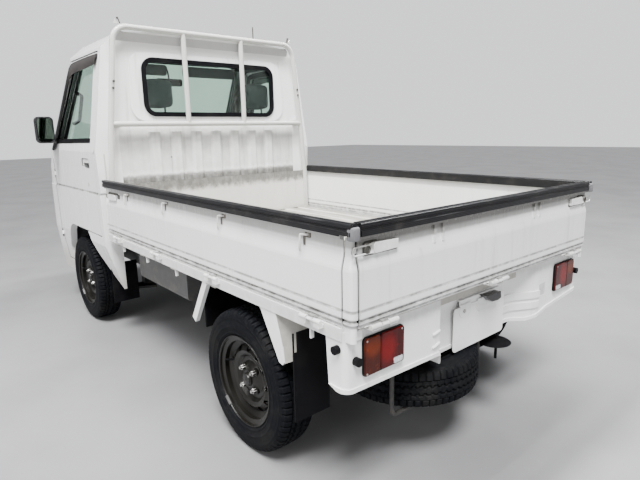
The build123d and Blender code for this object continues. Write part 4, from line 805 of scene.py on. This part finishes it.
# Guard: hook sleeves and fins, a dark strip under the eave that paints its shade, wall bolts, upright rods,
# clamp bolts
hook_sleeve = rod([(258, 550.5, 1752), (258, 560.8, 1783.5)], 5.6, 1)
put("guard_hook_sleeves",
    [hook_sleeve, flipped(hook_sleeve), rod([(258, -287, 1753), (258, -287, 1823.5)], 3.8, 1)],
    dark_steel)
fin = slab(((556, 1752), (582, 1748), (576, 1775)), "x", 256, 260)
put("guard_hook_fins", [fin, flipped(fin)], tube_white)
# Dark strip under the eave: painted shade of the overhang, with some dirt
put("eave_soffit", [slab(((278.5, 1714), (290, 1679), (291.5, 1679), (281.5, 1718)), "y", -560, 560)],
    soffit_shade_grime)
bolts = [turned(((4.5, -2), (4.5, 1), (3, 3), (1, 3.4)), place, BACKWARDS, 14)
         for place in ((292, 349, 1610.5), (292, -306, 1614), (279, 309, 1042))]
put("wall_bolts", bolts, dark_steel)
both_sides("guard_side_rod", [rod([(262, 700, 1075), (262, 700, 939)], 4, 1)], tube_white)
clamps = [hexagon((258, y, z), BACKWARDS, 7.5, 14.5, 21.5) for y, z in ((622, 1420), (616, 1455))]
put("guard_clamp_bolts", clamps + [flipped(clamp) for clamp in clamps], dark_steel)

# Tail: slots, plate backing, plate lamp, tabs and screws, the spare wheel's disc
slots = [rod([(-1655.5, 334, low), (-1658.5, 326, low + 1), (-1658.5, 304, high - 1), (-1655.5, 296, high)],
             4.5, 4) for low, high in ((518, 524), (473, 481))]
put("valance_slots", slots, tail_white)
bracket = [box((-1611, -138, 446), (-1608, 122, 572), 10),
           box((-1611, -138, 569), (-1602.5, 122, 572), 1.2, "y")]
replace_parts(put("plate_backing", bracket, tail_white), "plate_bracket")
put("plate_lamp", [slab(((0, 569), (-104, 565), (-108, 540), (-88, 534), (-46, 537.5)), "x", -1640, -1606)],
    black_gloss)
tabs = [slab(((y + 34, 556), (y + 34, 518), (y + 22, 506), (y - 22, 506), (y - 34, 518),
              (y - 34, 556)), "x", -1615.5, -1614.2, 0.4) for y in (90, -18)]
put("plate_tabs", tabs, tail_white)
plate_screws = [hexagon((-1614, y, 530.5), BACKWARDS, 7.5, -0.5, 5) for y in (97, -113)]
put("plate_screws", plate_screws, bright_steel)
carrier = [turned(((15, -4), (64, -2), (67, 0), (64, 2), (20, 8), (10, 12)),
                  (-1592, -152, 334), UPWARDS, 40), rod([(-1600, -158, 352), (-1600, -158, 262)], 5.5, 1)]
put("spare_carrier_disc", carrier, flap)

# Stays round the rear wheel, the folded bracket that carries the flap
stay = swept([(-846, 709, 602), (-800, 709, 530), (-728, 709, 416)],
             ((-9, -16), (9, -16), (9, 14), (6, 16), (-6, 16), (-9, 14)))
wedge = slab(((-1232, 602), (-1322, 602), (-1366, 444), (-1352, 430), (-1334, 434)), "y", 706, 718)
for made in both_sides("wheel_stay", [stay, wedge], tail_white):
    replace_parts(made, "wheel_stays")
web = np.array((((-1318, 717, 602), (-1330, 717, 550), (-1345, 717, 490), (-1364, 717, 440)),
                ((-1372, 678, 602), (-1376, 678, 550), (-1382, 678, 495), (-1392, 678, 455)),
                ((-1396, 650, 602), (-1398, 650, 550), (-1401, 650, 510), (-1406, 650, 480))))
folded = grid(np.concatenate([web, (web - (3, 0, 0))[:, ::-1]], 1), wrap_v=True, caps=True)
# The inner stay and folded bracket are a darkened white: painted shade under the body, over road dirt
both_sides("wheel_stay_inner", [box((-794, 560, 500), (-790, 702, 602), 6), folded], shaded_arch_white)

# Wheels: nuts on their seats, cap, rim lip, valve and a balance weight on each
NUT = ((11.2, 30), (11.2, 44.5), (10, 46.2), (7, 46.8), (6.4, 53), (3, 54.5))
NUT_SEAT = ((15, 18), (15, 32), (12.5, 33.5), (11.5, 33.5))
CAP = ((27, 40), (26.5, 44), (24, 47), (20.5, 47.5), (19.5, 44), (4, 43.5))
RIM_LIP = ((170, 60), (172.5, 61.8), (173.5, 64), (172, 66), (169.5, 65.5), (168, 62.5))
for where, x, y, side in WHEELS:
    out, wheel = (0, side, 0), "wheel_" + where
    spots = [(x + 50 * cos(radians(turn)), y, AXLE_Z + 50 * sin(radians(turn)))
             for turn in (45, 135, 225, 315)]
    put("wheel_nuts_" + where, [turned(NUT, spot, out, 6) for spot in spots], bright_steel, wheel)
    seats = [turned(NUT_SEAT, spot, out, 24) for spot in spots]
    put("wheel_nut_seats_" + where, seats + [turned(CAP, (x, y, AXLE_Z), out, 32)], wheel_steel, wheel)
    lip = turned(RIM_LIP, (x, y, AXLE_Z), out, 96)[0].reshape(6, 96, 3)
    put("rim_lip_" + where, [grid(lip, True, True)], wheel_steel, wheel)
    valve = rod([(x + 128, y + side * 24, 301), (x + 140, y + side * 56, 304)], 4.2, 1)
    put("valve_" + where, [valve], seal, wheel)
    turn = np.linspace(-0.95, -0.72, 8)
    weight = np.stack([x + 165.5 * np.cos(turn), y + side * 66.5 + 0 * turn,
                       AXLE_Z + 165.5 * np.sin(turn)], 1)
    put("balance_weight_" + where, [swept(weight, ((-5, -3), (5, -3), (4, 3), (-4, 3)))], cast, wheel)


# Seats: each pad is a rounded box swollen by cloth simulation, then its sewn channels are pressed in
VOXEL, PRESSURE, FRAMES, SEAM_SPREAD = 6, 4.0, 20, 7


def pad_points(half, across, along, taper, lean, rows=40, count=96):
    """A sphere's point with each axis raised to a small power keeps rounded corners; the form tapers and
    leans along its length."""
    u = np.linspace(-pi / 2, pi / 2, rows)[:, None]
    v = np.linspace(0, 2 * pi, count, endpoint=False)[None, :]
    waves = np.cos(u), np.sin(u), np.cos(v), np.sin(v)
    cos_u, sin_u, cos_v, sin_v = (np.sign(wave) * np.abs(wave) ** 0.32 for wave in waves)
    points = np.stack([cos_u * cos_v, cos_u * sin_v, sin_u + 0 * v], -1)
    share = points[..., along]
    placed = points * np.array(half)
    placed[..., across] = placed[..., across] * (1 + taper * share) + lean * share
    return placed


def readings(items, key):
    """One reading of every vertex of a mesh, three numbers each."""
    values = np.empty(len(items) * 3)
    items.foreach_get(key, values)
    return values.reshape(-1, 3)


def as_shown(shape):
    """An object with its modifiers worked out."""
    return shape.evaluated_get(bpy.context.evaluated_depsgraph_get())


def swollen_pad(name, node, half, centre, across, along, taper, lean, cap, channels):
    """Voxel remesh, cloth under pressure, movement capped, grooves of a bell curve along sewn lines."""
    points, faces = grid(pad_points(half, across, along, taper, lean), wrap_v=True, caps=True)
    mesh = bpy.data.meshes.new(name + "_start")
    mesh.from_pydata((points + np.array(centre)) * MM, [], faces)
    shape = bpy.data.objects.new(name + "_start", mesh)
    scene.collection.objects.link(shape)
    remesh = shape.modifiers.new("remesh", "REMESH")
    remesh.mode, remesh.voxel_size = "VOXEL", VOXEL * MM
    bpy.context.view_layer.update()
    rest = bpy.data.meshes.new_from_object(as_shown(shape))
    bpy.data.objects.remove(shape)
    still = readings(rest.vertices, "co") / MM
    shift = 0 * still
    blown = bpy.data.objects.new(name + "_blown", rest.copy())
    scene.collection.objects.link(blown)
    sheet = blown.modifiers.new("cloth", "CLOTH")
    sheet.settings.use_pressure = True
    sheet.settings.uniform_pressure_force = PRESSURE
    sheet.settings.effector_weights.gravity = 0.0
    sheet.point_cache.frame_start, sheet.point_cache.frame_end = 1, FRAMES
    for step in range(1, FRAMES + 1):
        scene.frame_set(step)
    shift = readings(as_shown(blown).to_mesh().vertices, "co") / MM - still
    scene.frame_set(1)
    bpy.data.objects.remove(blown)
    length = np.linalg.norm(shift, axis=1)[:, None]
    moved = still + shift * np.minimum(1, cap / np.maximum(length, 1e-6))
    normals, local = readings(rest.vertices, "normal"), moved - np.array(centre)
    for axis, place, depth in channels:
        moved = moved - normals * depth * np.exp(-((local[:, [axis]] - place) / SEAM_SPREAD) ** 2)
    corners = np.empty(len(rest.loops), int)
    rest.loops.foreach_get("vertex_index", corners)
    pad = moved, corners.reshape(-1, 4).tolist()
    for side, shape in (("left", pad), ("right", flipped(pad))):
        piece = put(name + "_" + side, [shape], cloth, "root", 180)
        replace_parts(piece, node)


swollen_pad("seat_cushion", "seats", (283, 224, 60), (692, SEAT_Y, 752), 2, 0, 0.05, 16, 10,
            ((1, -125, 5), (1, 125, 5), (0, 160, 4)))
swollen_pad("seat_back", "seats", (48, 213, 205), (398, SEAT_Y, 1052), 0, 2, -0.3, -20, 8,
            ((1, -120, 4), (1, 120, 4), (2, 120, 3)))
swollen_pad("headrest", "headrests", (29, 97, 78), (357, SEAT_Y, 1407), 0, 2, 0.0, 0, 6, ())
seat_frame = [box((420, SEAT_Y - 205, 631.2), (960, SEAT_Y + 205, 705), 20, "z")]
for side in (-1, 1):
    post, bracket = SEAT_Y + side * 50, SEAT_Y + side * 221
    seat_frame += [rod([(357, post, 1235), (357, post, 1345)], 5.5, 1),
                   rod([(405, bracket, 800), (392, bracket, 900)], 11, 1)]
both_sides("seat_frame", seat_frame, dark_lining)

# Cab fittings
both_sides("sun_visor", [box((805, 60, 1562), (823, 470, 1632), 16),
                         rod([(814, 470, 1622), (814, 488, 1626), (822, 490, 1648)], 4, 8)], vinyl)
put("rear_view_mirror", [box((900, -95, 1505), (918, 95, 1555), 14),
                         rod([(914, 0, 1550), (918, 0, 1590), (948, 0, 1640)], 6, 10)], dark_lining)
put("rear_view_glass", [box((898.8, -90, 1509), (900.4, 90, 1551), 12)], mirror_finish("inner mirror"))
both_sides("pillar_grip", [rod([(1010, 600, 1448), (985, 566, 1430), (1085, 572, 1270), (1110, 606, 1252)],
                               11, 20)], vinyl)
binnacle = slab(((1150, 985), (1168, 1072), (1215, 1092), (1290, 1070), (1310, 1034), (1230, 1020)), "y",
                -500, -184, 4)
put("binnacle", [binnacle], dark_lining)
dials = [turned(((r - 4, -2), (r, 0), (r, 3), (r - 6, 3.5)), (1157.5, y, 1036), (-1, 0, 0.21), 40)
         for y, r in ((-342, 40), (-430, 26), (-254, 26))]
put("dials", dials, dial_face)
vents = []
for y in (-560, -100, 100, 520):
    vents.append(box((1176.5, y - 58, 905), (1181.2, y + 58, 950), 8))
    vents += [box((1173.5, y - 52, z), (1177, y + 52, z + 4.5), 1.6) for z in (910, 918.5, 927, 935.5)]
put("dash_vents", vents, black_gloss)
knobs = [turned(((11, 0), (12, 2), (11, 16), (8, 18)), (1176, y, 861), BACKWARDS, 24) for y in (-72, 72)]
put("radio", [box((1174, -90, 835), (1181.2, 90, 888), 4)] + knobs, dark_lining)
put("glove_box", [box((1176.2, 150, 812), (1181.2, 470, 892), 14),
                  box((1172.2, 285, 868), (1177, 335, 880), 4)], lining)
GEAR_BOOT = ((32, 0), (30, 10), (20, 30), (14, 36), (12, 62))
GEAR_KNOB = ((6, -14), (18, -8), (21, 6), (15, 19), (4, 23))
levers = [turned(GEAR_BOOT, (1030, -60, 630), UPWARDS, 28),
          rod([(1030, -60, 660), (1030, -60, 760), (1016, -64, 860)], 6.5, 40),
          turned(GEAR_KNOB, (1014, -64, 872), UPWARDS, 28),
          rod([(640, 30, 640), (660, 30, 690), (820, 30, 740)], 8.5, 30),
          rod([(800, 30, 734), (900, 30, 765)], 15, 10)]
put("levers", levers, dark_lining)
pedals = []
for y, half in ((-430, 30), (-330, 34), (-235, 22)):
    pedals += [box((1400, y - half, 470), (1408, y + half, 530), 8),
               rod([(1408, y, 500), (1460, y, 560), (1490, y, 660)], 6, 30)]
put("pedals", pedals, dark_lining)
COLUMN_SLOPE = radians(42)
wheel_pad = turned(((39, 10), (38.5, 15), (34, 18.5), (6, 20)), (1010, -342, 1010),
                   (-cos(COLUMN_SLOPE), 0, sin(COLUMN_SLOPE)), 40)
put("steering_pad", [wheel_pad], lining, "steering_wheel")


# Nose: screen rubber, wipers, grille back
def on_screen(y, z, proud):
    """A point on the windscreen: it leans back as it rises, and bows back with the square of the distance
    from the middle."""
    y, z = np.asarray(y, float), np.asarray(z, float)
    lean = 1418 - 0.7866 * (z - 1086) - 52 * (y / 588) ** 2
    return np.stack([lean + proud * 0.786, y, z + proud * 0.618], -1)


SCREEN_EDGE = ((0, 1090), (628, 1090), (545, 1668), (-545, 1668), (-628, 1090), (0, 1090))
edge_line = rounded([(0, y, z) for y, z in SCREEN_EDGE], 65)[:-1]
dense = np.linspace(edge_line, np.roll(edge_line, -1, 0), 6, endpoint=False, axis=1).reshape(-1, 3)
put("screen_rubber",
    [swept(on_screen(dense[:, 1], dense[:, 2], -2), circle(9.5, 8) * (1.0, 0.75), closed=True)], seal)
wipers = []
for start in (-460, 100):
    reach = np.linspace(start, start + 440, 14)
    wipers.append(swept(on_screen(reach, 1128 + 0 * reach, 14), ((-4, -6), (4, -6), (1.5, 8), (-1.5, 8))))
    wipers.append(rod(on_screen((start + 20, start + 100, start + 240), (1078, 1100, 1128), 22), 5, 30))
    wipers.append(turned(((13, -4), (13, 10), (10, 14), (3, 15)),
                         on_screen(start + 20, 1078, 10), (0.786, 0, 0.618), 20))
put("wipers", wipers, black_gloss)


def nose_face(y, z, proud):
    """A point on the nose below the screen: it leans back as it rises, and bows like the screen."""
    lean = 1655 - 0.1473 * (z - 560) - 27 * (y / 540) ** 2
    return np.stack([lean + proud + 0 * y, y + 0 * z, z + 0 * y], -1)


across, upward = np.linspace(-358, 358, 40)[:, None], np.linspace(667, 788, 12)[None, :]
front_face, rear_face = nose_face(across, upward, -8.2), nose_face(across, upward, -9.6)
put("grille_back", [grid(np.concatenate([front_face, rear_face[:, ::-1]], 1), wrap_v=True, caps=True)],
    black_gloss)

# Floor and light
floor_mesh = bpy.data.meshes.new("floor")
floor_mesh.from_pydata([(-30, -30, 0), (30, -30, 0), (30, 30, 0), (-30, 30, 0)], [], [(0, 1, 2, 3)])
floor_finish = Finish("pale floor")
speckle = floor_finish.noise(1.4, 4)
floor_tone = floor_finish.mix((0.245, 0.245, 0.25), (0.205, 0.205, 0.21), speckle.ramp(0.35, 0.7))
floor_mesh.materials.append(floor_finish.close(floor_tone, 0.3 + speckle * 0.12))
floor = bpy.data.objects.new("floor", floor_mesh)
scene.collection.objects.link(floor)


def soft_light(name, spot, aim, length, width, power, tone=(1, 1, 1)):
    """A long soft lamp turned to a point."""
    data = bpy.data.lights.new(name, "AREA")
    data.shape = "RECTANGLE"
    data.size, data.size_y, data.energy, data.color = length, width, power, tone
    lamp = bpy.data.objects.new(name, data)
    lamp.location = spot
    lamp.rotation_euler = (Vector(aim) - Vector(spot)).to_track_quat("-Z", "X").to_euler()
    scene.collection.objects.link(lamp)


for number, row in enumerate((-1.9, -0.2, 1.7)):
    soft_light("ceiling_%d" % number, (-0.6, row, 4.2), (-0.6, row, 0), 0.45, 6.5, 260)
soft_light("left wall", (-1.5, 6.0, 2.6), (-0.3, 0, 0.8), 2.5, 4.0, 150, (1.0, 0.99, 0.97))
soft_light("rear wall", (-6.5, 0.8, 2.6), (-1, 0, 0.7), 2.5, 3.5, 85)
overhead = bpy.data.lights.new("overhead", "SUN")
overhead.energy, overhead.angle = 7.5, radians(20)
overhead_lamp = bpy.data.objects.new("overhead", overhead)
overhead_lamp.rotation_euler = Vector((0.42, -0.34, -1)).to_track_quat("-Z", "Y").to_euler()
scene.collection.objects.link(overhead_lamp)

# Pale surroundings: dim as a light, bright where the camera or the glass looks at them
world = bpy.data.worlds.new("studio")
world.use_nodes = True
sky = Nodes(world.node_tree)
dim = sky.node("Background", {"Color": (0.95, 0.97, 1.0, 1), "Strength": 0.26})
bright = sky.node("Background", {"Color": (0.93, 0.94, 0.96, 1), "Strength": 1.35})
looked_at = sky.node("LightPath", out="Is Camera Ray").most(sky.node("LightPath", out="Is Transmission Ray"))
sky.node("OutputWorld", {"Surface": sky.node("MixShader", {0: looked_at, 1: dim, 2: bright})})
scene.world = world
